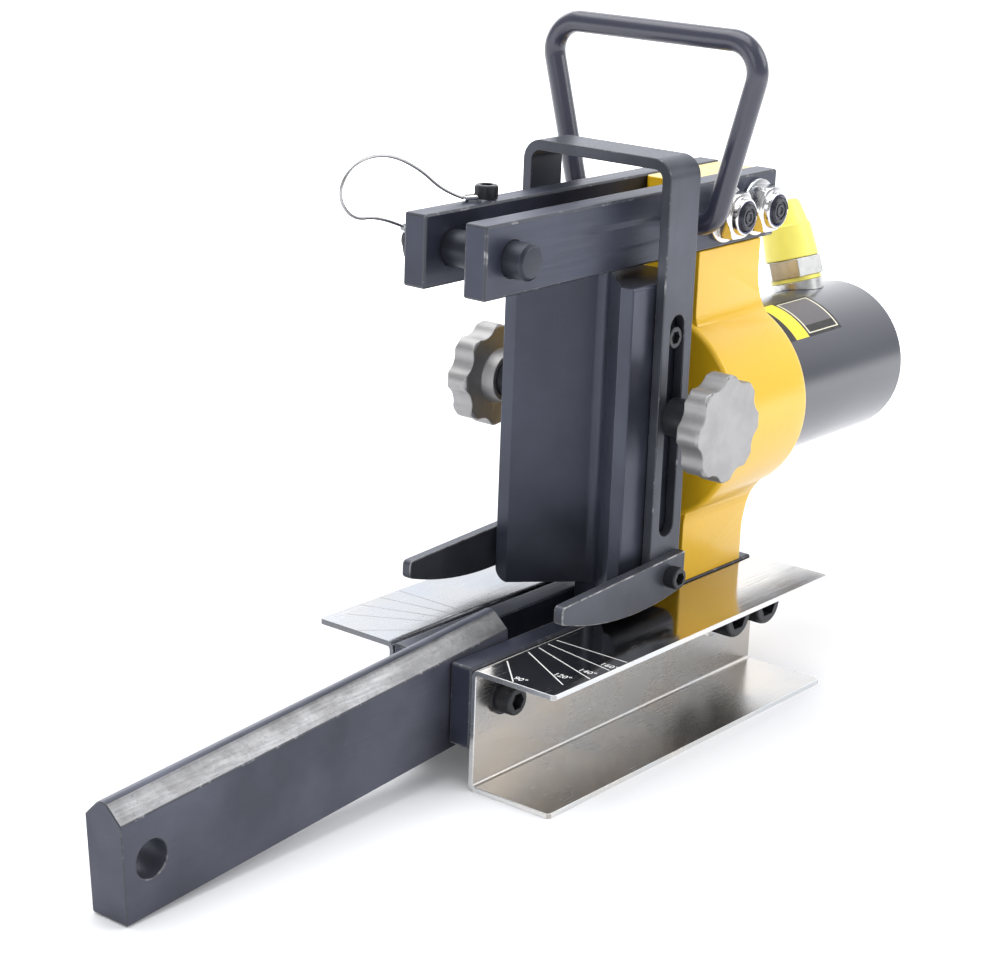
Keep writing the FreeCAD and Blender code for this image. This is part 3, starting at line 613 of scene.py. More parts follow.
blacked_bar = BlackedSteel("blacked_bar", BLACK, 0.38, Grain.ALONG_X)
# The lock pin is painted darker than the bars: painted shade for where it sits between them.
blacked_pin = BlackedSteel("blacked_pin", (0.014, 0.015, 0.022), 0.42, Grain.ALONG_Y)
blacked_die = BlackedSteel(
    "blacked_die", (0.036, 0.039, 0.057), 0.32, Grain.ALONG_Z, relief=0.0005, streaks=0.004
)
blacked_sheet = BlackedSteel("blacked_sheet", (0.056, 0.059, 0.072), 0.40, Grain.ALONG_Z)
blacked_arm = BlackedSteel("blacked_arm", (0.055, 0.057, 0.077), 0.44, Grain.ALONG_X)
worn_edge = WornEdge("worn_edge", (0.06, 0.063, 0.076), 0.38, worn=0.2)
rubbed_edge = WornEdge("rubbed_edge", (0.08, 0.082, 0.09), 0.34, worn=0.7)
bare_bevel = GroundSteel("bare_bevel", (0.34, 0.34, 0.35), 0.40)

casting_paint = SprayPaint("casting_paint", YELLOW, 0.33, casting=0.12, coat=0.25)
# Painted highlight: the tongue's top is painted paler and glossier than the rest of the casting.
thick_paint = SprayPaint(
    "thick_paint", HIGHLIGHT_YELLOW, 0.33, peel=0.02, coat=0.45, coat_roughness=0.3
)
barrel_paint = SprayPaint("barrel_paint", BLACK, 0.36, peel=0.02, coat=0.8, coat_roughness=0.2)
handle_paint = SprayPaint("handle_paint", (0.040, 0.042, 0.068), 0.33, peel=0.06, coat=0.5)

mirror_zinc = ZincPlate("mirror_zinc", (0.53, 0.51, 0.49), 0.12, scratches=0.25, relief=0.006)
satin_zinc = ZincPlate(
    "satin_zinc", (0.49, 0.472, 0.456), 0.25, scratches=0.0, relief=0.003, streaks=0.02
)
# The channel's bends are painted lighter: a painted highlight where the rounded bend catches light.
bent_zinc = ZincPlate(
    "bent_zinc", (0.70, 0.68, 0.66), 0.42, scratches=0.0, relief=0.003, streaks=0.02
)
scratched_zinc = ZincPlate(
    "scratched_zinc", (0.375, 0.385, 0.41), 0.27, scratches=0.8, relief=0.03
)
# The near channel's cut faces and eased edges: bare cut metal, painted bright as a painted
# highlight.
sheared_zinc = ZincPlate("sheared_zinc", (0.80, 0.80, 0.80), 0.3, Grain.EVEN, 0.5, 0.04)
# The far channel's cut faces and eased edges are painted dark: painted shade.
dull_zinc = ZincPlate("dull_zinc", (0.20, 0.205, 0.22), 0.4, scratches=0.2)
bright_hardware = ZincPlate("bright_hardware", (0.74, 0.74, 0.75), 0.16, Grain.EVEN, 0.15, 0.02)

black_screw = TurnedMetal("black_screw", (0.035, 0.036, 0.042), 0.36, metallic=0.4)
thread_black = TurnedMetal("thread_black", (0.045, 0.047, 0.06), 0.30, metallic=0.5)
plated_fitting = TurnedMetal("plated_fitting", (0.62, 0.62, 0.62), 0.34, relief=0.0015)
lanyard_steel = TurnedMetal("lanyard_steel", (0.50, 0.50, 0.51), 0.34)
chromed_rod = TurnedMetal("hard_chrome", (0.72, 0.73, 0.75), 0.1)
oiled_spring = TurnedMetal("oiled_spring", (0.14, 0.14, 0.15), 0.32)
bearing_bronze = TurnedMetal("bearing_bronze", (0.55, 0.36, 0.15), 0.3)
cast_knob = BlastedCasting("cast_knob", (0.40, 0.395, 0.397), 0.48)

nylon_ring = Moulding("nylon_ring", (0.07, 0.085, 0.20), 0.4)
yellow_moulding = Moulding("yellow_moulding", (1.0, 0.92, 0.19), 0.33)
seal_rubber = Moulding("rubber_seal", (0.02, 0.02, 0.02), 0.6)
scale_ink = Moulding("scale_ink", (0.84, 0.84, 0.83), 0.5)
faint_ink = Moulding("faint_ink", (0.36, 0.36, 0.38), 0.4)
sticker = BarePlate("bare_sticker", (0.010, 0.009, 0.009), 0.5)


# Mesh work


def solid_copy(node: str) -> bmesh.types.BMesh:
    """Copies the mesh of a frame node, with its triangles joined and its flat faces made whole.

    Args:
        node: the frame node's name.

    Returns:
        The copy, which the caller frees.
    """
    shell = bmesh.new()
    shell.from_mesh(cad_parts[node].data)
    bmesh.ops.remove_doubles(shell, verts=shell.verts, dist=SAME_POINT)
    flat = math.radians(FLAT_WITHIN)
    bmesh.ops.dissolve_limit(shell, angle_limit=flat, verts=shell.verts, edges=shell.edges)
    return shell


def mesh_of(shell: bmesh.types.BMesh, outwards: bool = False) -> bpy.types.Mesh:
    """Turns a bmesh into a mesh and frees it.

    Args:
        shell: the bmesh.
        outwards: whether its faces are first turned outwards.

    Returns:
        The mesh.
    """
    if outwards:
        bmesh.ops.recalc_face_normals(shell, faces=shell.faces)
    mesh = bpy.data.meshes.new("shell")
    shell.to_mesh(mesh)
    shell.free()
    return mesh


def in_scene(name: str, data: bpy.types.ID) -> bpy.types.Object:
    """Makes an object of a mesh, curve, lamp or camera and puts it in the scene."""
    thing = bpy.data.objects.new(name, data)
    bpy.context.scene.collection.objects.link(thing)
    return thing


def smoothed(mesh: bpy.types.Mesh, below: float = SMOOTH_BELOW) -> None:
    """Shades a mesh smooth, apart from edges sharper than the given degrees."""
    mesh.shade_smooth()
    mesh.set_sharp_from_angle(angle=math.radians(below))


def finished(
    name: str, mesh: bpy.types.Mesh, finishes: Sequence[Finish], smooth: bool = True
) -> bpy.types.Object:
    """Makes a mesh an object of the scene.

    Args:
        name: the piece's name.
        mesh: its mesh, in place.
        finishes: its finishes, by slot.
        smooth: whether its flatter edges are shaded smooth.

    Returns:
        The object, at the origin.
    """
    mesh.name = name
    for finish in finishes:
        mesh.materials.append(finish.material())
    if smooth:
        smoothed(mesh)
    return in_scene(name, mesh)


def settled(piece: bpy.types.Object) -> bpy.types.Object:
    """Applies a piece's modifiers, so that its mesh holds what they make.

    Args:
        piece: the piece, with live modifiers.

    Returns:
        The same piece.
    """
    graph = bpy.context.evaluated_depsgraph_get()
    graph.update()
    shape = bpy.data.meshes.new_from_object(
        piece.evaluated_get(graph), preserve_all_data_layers=True, depsgraph=graph
    )
    piece.modifiers.clear()
    old = piece.data
    piece.data = shape
    bpy.data.meshes.remove(old)
    shape.name = piece.name
    return piece


def turned_mesh(stations: Profile, across: float = 0.0, steps: int = 72) -> bpy.types.Mesh:
    """Turns a profile about the Z axis, and mills it to a hexagon where it is wider than one.

    Args:
        stations: points of the profile as (height, radius) in millimetres, in order. A profile
            that leaves the axis closes on itself.
        across: width across the hexagon's flats in millimetres, or 0 for a round part.
        steps: facets round the axis.

    Returns:
        The closed mesh, with its faces outwards.
    """
    shell = bmesh.new()
    rings = []
    for height, radius in stations:
        if not radius:
            rings.append([shell.verts.new((0, 0, height * MM))])
            continue
        ring = []
        for i in range(steps):
            angle = 2 * math.pi * i / steps
            to_flat = (angle % HEX_TURN) - HEX_TURN / 2
            reach = min(radius, across / 2 / math.cos(to_flat)) if across else radius
            x, y = reach * math.cos(angle), reach * math.sin(angle)
            ring.append(shell.verts.new((x * MM, y * MM, height * MM)))
        rings.append(ring)
    hollow = len(rings[0]) > 1 and len(rings[-1]) > 1
    for low, high in zip(rings, rings[1:] + (rings[:1] if hollow else [])):
        for i in range(steps):
            j = (i + 1) % steps
            below = (low[i % len(low)], low[j % len(low)])
            above = (high[j % len(high)], high[i % len(high)])
            corners = tuple(dict.fromkeys(below + above))
            if len(corners) > 2:
                shell.faces.new(corners)
    bmesh.ops.remove_doubles(shell, verts=shell.verts, dist=SAME_POINT)
    return mesh_of(shell, outwards=True)


def prism(outline: Sequence[tuple[float, float]], low: float, high: float) -> bpy.types.Mesh:
    """Makes an upright prism.

    Args:
        outline: corners of its base, as (x, y).
        low: height of its base.
        high: height of its top.

    Returns:
        The closed mesh, with its faces outwards.
    """
    shell = bmesh.new()
    under = [shell.verts.new((x, y, low)) for x, y in outline]
    over = [shell.verts.new((x, y, high)) for x, y in outline]
    shell.faces.new(under)
    shell.faces.new(over)
    for i in range(len(outline)):
        j = (i + 1) % len(outline)
        shell.faces.new((under[i], under[j], over[j], over[i]))
    return mesh_of(shell, outwards=True)


@dataclass(frozen=True)
class TreeInput:
    """A named input of a geometry tree."""

    name: str
    kind: str


class GeometryTree:
    """A geometry tree with named inputs, which ends in Realize Instances and Set Material."""

    def __init__(self, name: str, inputs: Iterable[TreeInput]) -> None:
        """Starts the tree.

        Args:
            name: the tree's name.
            inputs: its inputs, besides the geometry and the material.
        """
        self.tree = bpy.data.node_groups.new(name, "GeometryNodeTree")
        self.sheet = NodeSheet(self.tree)
        self.add_socket("Geometry", "NodeSocketGeometry", "INPUT")
        for item in inputs:
            self.add_socket(item.name, item.kind, "INPUT")
        self.add_socket("Material", "NodeSocketMaterial", "INPUT")
        self.add_socket("Geometry", "NodeSocketGeometry", "OUTPUT")
        self.given = self.sheet.add("NodeGroupInput").outputs

    def add_socket(self, name: str, kind: str, way: str) -> None:
        """Adds one socket to the tree's interface."""
        self.tree.interface.new_socket(name=name, in_out=way, socket_type=kind)

    def end(self, shape: Socket) -> None:
        """Closes the tree on the shape that it makes."""
        real = self.sheet.add("GeometryNodeRealizeInstances", {0: shape})
        inputs = {"Geometry": real.outputs[0], "Material": self.given["Material"]}
        dressed = self.sheet.add("GeometryNodeSetMaterial", inputs)
        self.sheet.add("NodeGroupOutput", {0: dressed.outputs[0]})

    def grow(
        self, name: str, seed: bpy.types.Mesh, finish: Finish, values: dict[str, Any]
    ) -> bpy.types.Object:
        """Runs the tree on a mesh.

        Args:
            name: the piece's name.
            seed: the mesh that the tree starts from.
            finish: what the shape is dressed in.
            values: the tree's inputs, by name.

        Returns:
            The piece, as a plain mesh.
        """
        piece = in_scene(name, seed)
        modifier = piece.modifiers.new("shape", "NODES")
        modifier.node_group = self.tree
        values = {**values, "Material": finish.material()}
        for item in self.tree.interface.items_tree:
            if item.in_out == "INPUT" and item.name in values:
                modifier[item.identifier] = values[item.name]
        smoothed(settled(piece).data)
        return piece


class CopyTree(GeometryTree):
    """Sets copies of one part on points, turned and stretched by the points' own attributes."""

    def __init__(self) -> None:
        """Builds the tree."""
        super().__init__("copies_on_points", [TreeInput("Part", "NodeSocketObject")])
        sheet, given = self.sheet, self.given
        chosen = {"Object": given["Part"], "As Instance": True}
        part = sheet.add("GeometryNodeObjectInfo", chosen)
        turn, stretch = (
            sheet.add("GeometryNodeInputNamedAttribute", {"Name": name}, data_type="FLOAT_VECTOR")
            for name in ("turn", "stretch")
        )
        inputs = {
            "Points": given["Geometry"],
            "Instance": part.outputs["Geometry"],
            "Rotation": turn.outputs[0],
            "Scale": stretch.outputs[0],
        }
        self.end(sheet.add("GeometryNodeInstanceOnPoints", inputs).outputs[0])

    def spread(
        self, name: str, part: bpy.types.Mesh, finish: Finish, seats: Sequence[Seat]
    ) -> bpy.types.Object:
        """Sets a part on a row of seats.

        Args:
            name: the piece's name.
            part: the part's mesh, about its own origin.
            finish: its finish.
            seats: place, turn and stretch of each copy.

        Returns:
            The piece, as one plain mesh.
        """
        places, turns, stretches = zip(*seats)
        seed = bpy.data.meshes.new(name)
        seed.from_pydata(places, [], [])
        for label, row in (("turn", turns), ("stretch", stretches)):
            values = seed.attributes.new(label, "FLOAT_VECTOR", "POINT")
            values.data.foreach_set("vector", [v for item in row for v in item])
        pattern = bpy.data.objects.new(name + "_part", part)
        piece = self.grow(name, seed, finish, {"Part": pattern})
        bpy.data.objects.remove(pattern)
        return piece


class ThreadTree(GeometryTree):
    """Winds a screw thread up from the origin along Z."""

    STEPS_A_TURN = 48
    CORNERS = 4
    CREST_SHARE = 0.42

    def __init__(self) -> None:
        """Builds the tree."""
        names = ("Radius", "Pitch", "Turns")
        super().__init__("screw_thread", [TreeInput(name, "NodeSocketFloat") for name in names])
        sheet, given = self.sheet, self.given
        spiral = {
            "Resolution": self.STEPS_A_TURN,
            "Rotations": given["Turns"],
            "Start Radius": given["Radius"],
            "End Radius": given["Radius"],
            "Height": sheet.math("MULTIPLY", given["Pitch"], given["Turns"]),
        }
        line = sheet.add("GeometryNodeCurveSpiral", spiral)
        crest = sheet.math("MULTIPLY", given["Pitch"], self.CREST_SHARE)
        section = {"Resolution": self.CORNERS, "Radius": crest}
        profile = sheet.add("GeometryNodeCurvePrimitiveCircle", section, mode="RADIUS")
        thread = {
            "Curve": line.outputs[0],
            "Profile Curve": profile.outputs[0],
            "Fill Caps": True,
        }
        self.end(sheet.add("GeometryNodeCurveToMesh", thread).outputs[0])


copy_tree = CopyTree()
thread_tree = ThreadTree()


# Sub-assemblies


@dataclass(frozen=True)
class Ease:
    """How the sharp edges of a piece are eased.

    Attributes:
        width: width of an eased edge, in millimetres.
        segments: facets across it.
        corner: edges sharper than this many degrees are eased.
        inside: whether inside corners are eased too.
        weld: points closer than this many millimetres are joined first.
    """

    width: float
    segments: int = 2
    corner: float = SMOOTH_BELOW
    inside: bool = True
    weld: float = 0.0


@dataclass(frozen=True)
class Patch:
    """A finish for the faces that pass a test on their middle and normal."""

    finish: Finish
    covers: FaceTest


@dataclass
class SubAssembly:
    """Pieces that ride on one body.

    Attributes:
        body: the body's name.
    """

    body: str

    def mount(self, piece: bpy.types.Object, slot: str, *nodes: str) -> bpy.types.Object:
        """Puts a piece on the body and reports it.

        Args:
            piece: the finished piece.
            slot: not used.
            nodes: the frame nodes that it stands for.

        Returns:
            The same piece.
        """
        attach(piece, self.body)
        if nodes:
            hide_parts(*nodes)
        if piece.type == "MESH":
            log.info("%-24s %7d faces on %s", piece.name, len(piece.data.polygons), self.body)
        return piece

    def dress(self, finish: Finish, *nodes: str) -> None:
        """Gives frame nodes a finish, with their shape left as it is."""
        for name in nodes:
            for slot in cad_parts[name].material_slots:
                slot.material = finish.material()
            log.info("%-24s keeps its shape, dressed in %s", name, finish.name)

    def eased(
        self,
        node: str,
        slot: str,
        finish: Finish,
        edge: Finish,
        ease: Ease,
        patches: Sequence[Patch] = (),
    ) -> bpy.types.Object:
        """Makes a piece of a frame node with its sharp edges eased.

        Args:
            node: the frame node's name.
            slot: the material slot of its finish.
            finish: what its faces wear.
            edge: what its eased edges wear.
            ease: how the edges are eased.
            patches: what some of its faces wear instead.

        Returns:
            The piece, which stands for the node.
        """
        shell = solid_copy(node)
        if ease.weld:
            bmesh.ops.remove_doubles(shell, verts=shell.verts, dist=ease.weld * MM)
        weight = shell.edges.layers.float.new("bevel_weight_edge")
        for line in shell.edges:
            sharp = line.calc_face_angle(0.0) > math.radians(ease.corner)
            if sharp and (ease.inside or line.is_convex):
                line[weight] = 1.0
        for face in shell.faces:
            for number, patch in enumerate(patches, start=EDGE_SLOT + 1):
                if patch.covers(face.calc_center_median(), face.normal):
                    face.material_index = number
        coats = [finish, edge, *(patch.finish for patch in patches)]
        piece = finished(node + "_body", mesh_of(shell), coats)
        bevel = piece.modifiers.new("ease", "BEVEL")
        bevel.width = ease.width * MM
        bevel.segments = ease.segments
        bevel.limit_method = "WEIGHT"
        bevel.use_clamp_overlap = False
        bevel.harden_normals = True
        bevel.material = EDGE_SLOT
        return self.mount(settled(piece), slot, node)


@dataclass(frozen=True)
class FlatTop:
    """Finds the faces that look up at one height."""

    height: float

    def __call__(self, middle: Vector, normal: Vector) -> bool:
        """Tells whether a face is part of the top."""
        return normal.z > FACING and middle.z > self.height - SAME_POINT


@dataclass(frozen=True)
class CutEdge:
    """Finds the sheared edges of a channel, from how far its flanges reach."""

    reach: float

    def __call__(self, middle: Vector, normal: Vector) -> bool:
        """Tells whether a face is a sheared edge."""
        on_rim = abs(middle.y) > self.reach - SAME_POINT
        return abs(normal.x) > FACING or abs(normal.y) > FACING and on_rim


def on_bend(middle: Vector, normal: Vector) -> bool:
    """Tells whether a face of a channel is part of a bend."""
    return abs(normal.x) < SQUARE_ON and abs(normal.y) > ASLANT and abs(normal.z) > ASLANT


def on_near_bevel(middle: Vector, normal: Vector) -> bool:
    """Tells whether a face of the arm is part of its near bevel."""
    outwards, upwards = BEVEL_LEAN
    return normal.y < outwards and normal.z > upwards


@dataclass
class MachineFrame(SubAssembly):
    """Casting, cylinder, bars, rails, channels and handle.

    Attributes:
        bar_ease: eased edges of the machined bars.
        casting_ease: eased edges of the casting.
        sheet_ease: eased edges of the channels' sheet.
        stroke: the ram's stroke, not used.
    """

    body: str = "frame"
    bar_ease: Ease = Ease(0.45)
    casting_ease: Ease = Ease(0.5, segments=3, corner=55.0, inside=False)
    sheet_ease: Ease = Ease(0.35)
    stroke: float = 58 * MM

    def build(self) -> None:
        """Builds all its pieces."""
        self.build_casting()
        for kind in ("upper_bar", "lower_rail"):
            for side in ("near", "far"):
                node = f"{kind}_{side}"
                self.eased(node, "black_oxide", blacked_bar, worn_edge, self.bar_ease)
        self.build_channels()
        self.dress(barrel_paint, "cylinder_barrel")
        self.dress(handle_paint, "carry_handle")
        self.dress(bearing_bronze, "rod_bush")
        self.dress(seal_rubber, "rod_wiper")
        self.build_spring()
        self.dress(black_screw, "pivot_pin")

    def build_casting(self) -> None:
        """Builds the casting, whose tongue top is painted paler and glossier as a painted
        highlight.
        """
        _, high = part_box("frame_casting")
        # The tongue's top wears a painted highlight.
        tongue = [Patch(thick_paint, FlatTop(high.z))]
        paint, ease = casting_paint, self.casting_ease
        self.eased("frame_casting", "yellow_paint", paint, paint, ease, tongue)

    def build_channels(self) -> None:
        """Builds the channels: the near one polished on top, the far one scratched by work."""
        _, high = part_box("base_channel_far")
        cut_edge, ease = CutEdge(high.y), self.sheet_ease
        near = [
            # The near channel's cut faces and eased edges wear a painted highlight.
            Patch(sheared_zinc, cut_edge),
            Patch(mirror_zinc, FlatTop(high.z)),
            # The bends wear a painted highlight.
            Patch(bent_zinc, on_bend),
        ]
        self.eased("base_channel_near", "bright_zinc", satin_zinc, sheared_zinc, ease, near)
        # The far channel's cut faces and eased edges wear painted shade.
        far = [Patch(dull_zinc, cut_edge)]
        self.eased("base_channel_far", "bright_zinc", scratched_zinc, dull_zinc, ease, far)

    def build_spring(self) -> None:
        """Builds the return spring, which the piston presses together as the ram moves out."""
        coil = mesh_of(solid_copy("return_spring"))
        spring = finished("return_spring_coil", coil, [oiled_spring])
        self.mount(spring, "spring_steel", "return_spring")
        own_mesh(spring)


@dataclass
class BarrelSticker(SubAssembly):
    """The bare sticker on the cylinder.

    Attributes:
        start: place of its front edge along the cylinder.
        length: length along the cylinder.
        top: angle of its upper edge from the top, in degrees towards the near side.
        bottom: angle of its lower edge.
        skin: how far it stands proud.
        steps: facets round the cylinder.
        plain_spot: a place of its UV map that has the plain colour, for its thin ends.
    """

    body: str = "frame"
    start: float = 0.1625
    length: float = 0.0505
    top: float = 8.0
    bottom: float = 47.0
    skin: float = 0.12 * MM
    steps: int = 24
    plain_spot: tuple[float, float] = (0.01, 0.01)

    def build(self) -> None:
        """Builds the curved sheet with its UV map."""
        low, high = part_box("cylinder_barrel")
        centre, radius = (low.z + high.z) / 2, (high.z - low.z) / 2
        shell = bmesh.new()
        uv = shell.loops.layers.uv.new("sticker")
        rows = []
        for i in range(self.steps + 1):
            angle = math.radians(self.top + (self.bottom - self.top) * i / self.steps)
            across, up = -math.sin(angle), math.cos(angle)
            points = [(x, across * r, centre + up * r) for x, r in self.section(radius)]
            rows.append([shell.verts.new(point) for point in points])
        along = (0.0, 0.0, 1.0, 1.0)
        for i, (ring, following) in enumerate(zip(rows, rows[1:])):
            for j in range(3):
                face = shell.faces.new((ring[j], ring[j + 1], following[j + 1], following[j]))
                us = (along[j], along[j + 1], along[j + 1], along[j])
                for loop, u, v in zip(face.loops, us, (i, i, i + 1, i + 1)):
                    loop[uv].uv = (u, v / self.steps)
        for ring in (rows[0], rows[-1]):
            for loop in shell.faces.new(ring).loops:
                loop[uv].uv = self.plain_spot
        for ring, following in zip(rows, rows[1:]):
            shell.faces.new((ring[0], ring[3], following[3], following[0]))
        sheet = mesh_of(shell, outwards=True)
        self.mount(finished("barrel_sticker", sheet, [sticker]), "black_paint")

    def section(self, radius: float) -> Profile:
        """Gives the corners of the sheet's section, as place along and distance from the axis."""
        end, outer = self.start + self.length, radius + self.skin
        return (self.start, radius), (self.start, outer), (end, outer), (end, radius)


@dataclass
class Ram(SubAssembly):
    """Die, key, rod and piston.

    Attributes:
        die_ease: eased edges of the die, whose fillets end in very small facets.
        key_ease: eased edges of the key.
    """

    body: str = "ram"
    die_ease: Ease = Ease(0.4, weld=0.25)
    key_ease: Ease = Ease(0.6)

    def build(self) -> None:
        """Builds all its pieces."""
        self.eased("v_die", "black_oxide", blacked_die, worn_edge, self.die_ease)
        self.eased("die_key", "black_oxide", blacked_die, worn_edge, self.key_ease)
        self.dress(chromed_rod, "piston_rod")
        self.dress(plated_fitting, "piston")
        self.dress(seal_rubber, "piston_seal")
        self.dress(black_screw, "bracket_guide_screws")


@dataclass
class Support(SubAssembly):
    """The height-adjustable bracket with its fingers, whose edges are rubbed most.

    Attributes:
        ease: eased edges of all its pieces.
    """

    body: str = "bracket"
    ease: Ease = Ease(0.6)

    def build(self) -> None:
        """Builds all its pieces."""
        self.eased("support_bracket", "black_oxide", blacked_sheet, worn_edge, self.ease)
        for node in ("support_finger_near", "support_finger_far"):
            self.eased(node, "black_oxide", blacked_sheet, rubbed_edge, self.ease)
        self.dress(black_screw, "finger_screws")


@dataclass
class ClampKnob(SubAssembly):
    """One clamp knob with its stud.

    Attributes:
        side: the side that it is on.
        ease: eased edges of the knob.
    """

    side: Side = Side.NEAR
    ease: Ease = Ease(0.6)

    def build(self) -> None:
        """Builds the knob."""
        name = self.side.name.lower()
        self.eased(f"clamp_knob_{name}", "cast_silver", cast_knob, cast_knob, self.ease)
        self.dress(black_screw, f"clamp_stud_{name}")


@dataclass
class SwingArm(SubAssembly):
    """The arm with its 90 degree nose, rubbed bare on the near bevel.

    Attributes:
        ease: eased edges of the arm.
    """

    body: str = "swing_arm"
    ease: Ease = Ease(0.6)

    def build(self) -> None:
        """Builds the arm."""
        bevel = [Patch(bare_bevel, on_near_bevel)]
        self.eased("swing_arm", "black_oxide", blacked_arm, worn_edge, self.ease, bevel)


@dataclass
class LockPin(SubAssembly):
    """The pin that locks the arm.

    Attributes:
        ease: eased edges of the pin.
    """

    body: str = "lock_pin"
    ease: Ease = Ease(0.2)

    def build(self) -> None:
        """Builds the pin."""
        # The pin wears painted shade; its edges wear the bars' plain black.
        self.eased("lock_pin", "black_oxide", blacked_pin, blacked_bar, self.ease)
        self.dress(bright_hardware, "lock_pin_eyelet")
        self.dress(black_screw, "lock_pin_screw")


@dataclass
class Lanyard(SubAssembly):
    """The wire between the eyelet on the far bar and the one on the pin.

    Attributes:
        route: control points of the wire's line.
        diameter: the wire's diameter.
        length: its real length, not used.
        facets: facets of the wire in a quarter of its round.
        steps: steps of the line from one control point to the next.
    """

    body: str = "frame"
    route: tuple[Point, ...] = (
        (-0.031179, 0.020146, 0.252650),
        (-0.040760, 0.023054, 0.256011),
        (-0.054720, 0.025542, 0.267533),
        (-0.073240, 0.028030, 0.275574),
        (-0.091700, 0.030038, 0.273116),
        (-0.099720, 0.031026, 0.260637),
        (-0.089681, 0.031534, 0.248639),
        (-0.072681, 0.031502, 0.248160),
        (-0.058381, 0.030450, 0.242101),
    )
    diameter: float = 1.4 * MM
    length: float = 0.1267
    facets: int = 4
    steps: int = 16

    def build(self) -> None:
        """Builds the wire."""
        line = bpy.data.curves.new("lanyard", "CURVE")
        line.dimensions = "3D"
        line.bevel_depth = self.diameter / 2
        line.bevel_resolution = self.facets
        line.resolution_u = self.steps
        line.use_fill_caps = True
        spline = line.splines.new("NURBS")
        spline.points.add(len(self.route) - 1)
        for point, place in zip(spline.points, self.route):
            point.co = (*place, 1.0)
        spline.order_u = 3
        spline.use_endpoint_u = True
        line.materials.append(lanyard_steel.material())
        wire = self.mount(in_scene("lanyard", line), "wire_rope", "lanyard_wire")
        self.dress(bright_hardware, "lanyard_eyelet")
        self.dress(black_screw, "lanyard_screw")


@dataclass
class Coupler(SubAssembly):
    """The quick coupler on the cylinder.

    Attributes:
        steel_ease: eased edges of its steel parts.
        ring_ease: eased edges of its plastic ring.
    """

    body: str = "frame"
    steel_ease: Ease = Ease(0.3)
    ring_ease: Ease = Ease(0.5)

    def build(self) -> None:
        """Builds the coupler."""
        steel, plastic = plated_fitting, yellow_moulding
        self.eased("coupler_base", "coupler_steel", steel, steel, self.steel_ease)
        self.eased("coupler_ring", "yellow_plastic", plastic, plastic, self.ring_ease)
        self.eased("coupler_body", "coupler_steel", steel, steel, self.steel_ease)


@dataclass
class DustCap(SubAssembly):
    """The cap over the coupler."""

    body: str = "dust_cap"

    def build(self) -> None:
        """Dresses the cap."""
        self.dress(yellow_moulding, "dust_cap")


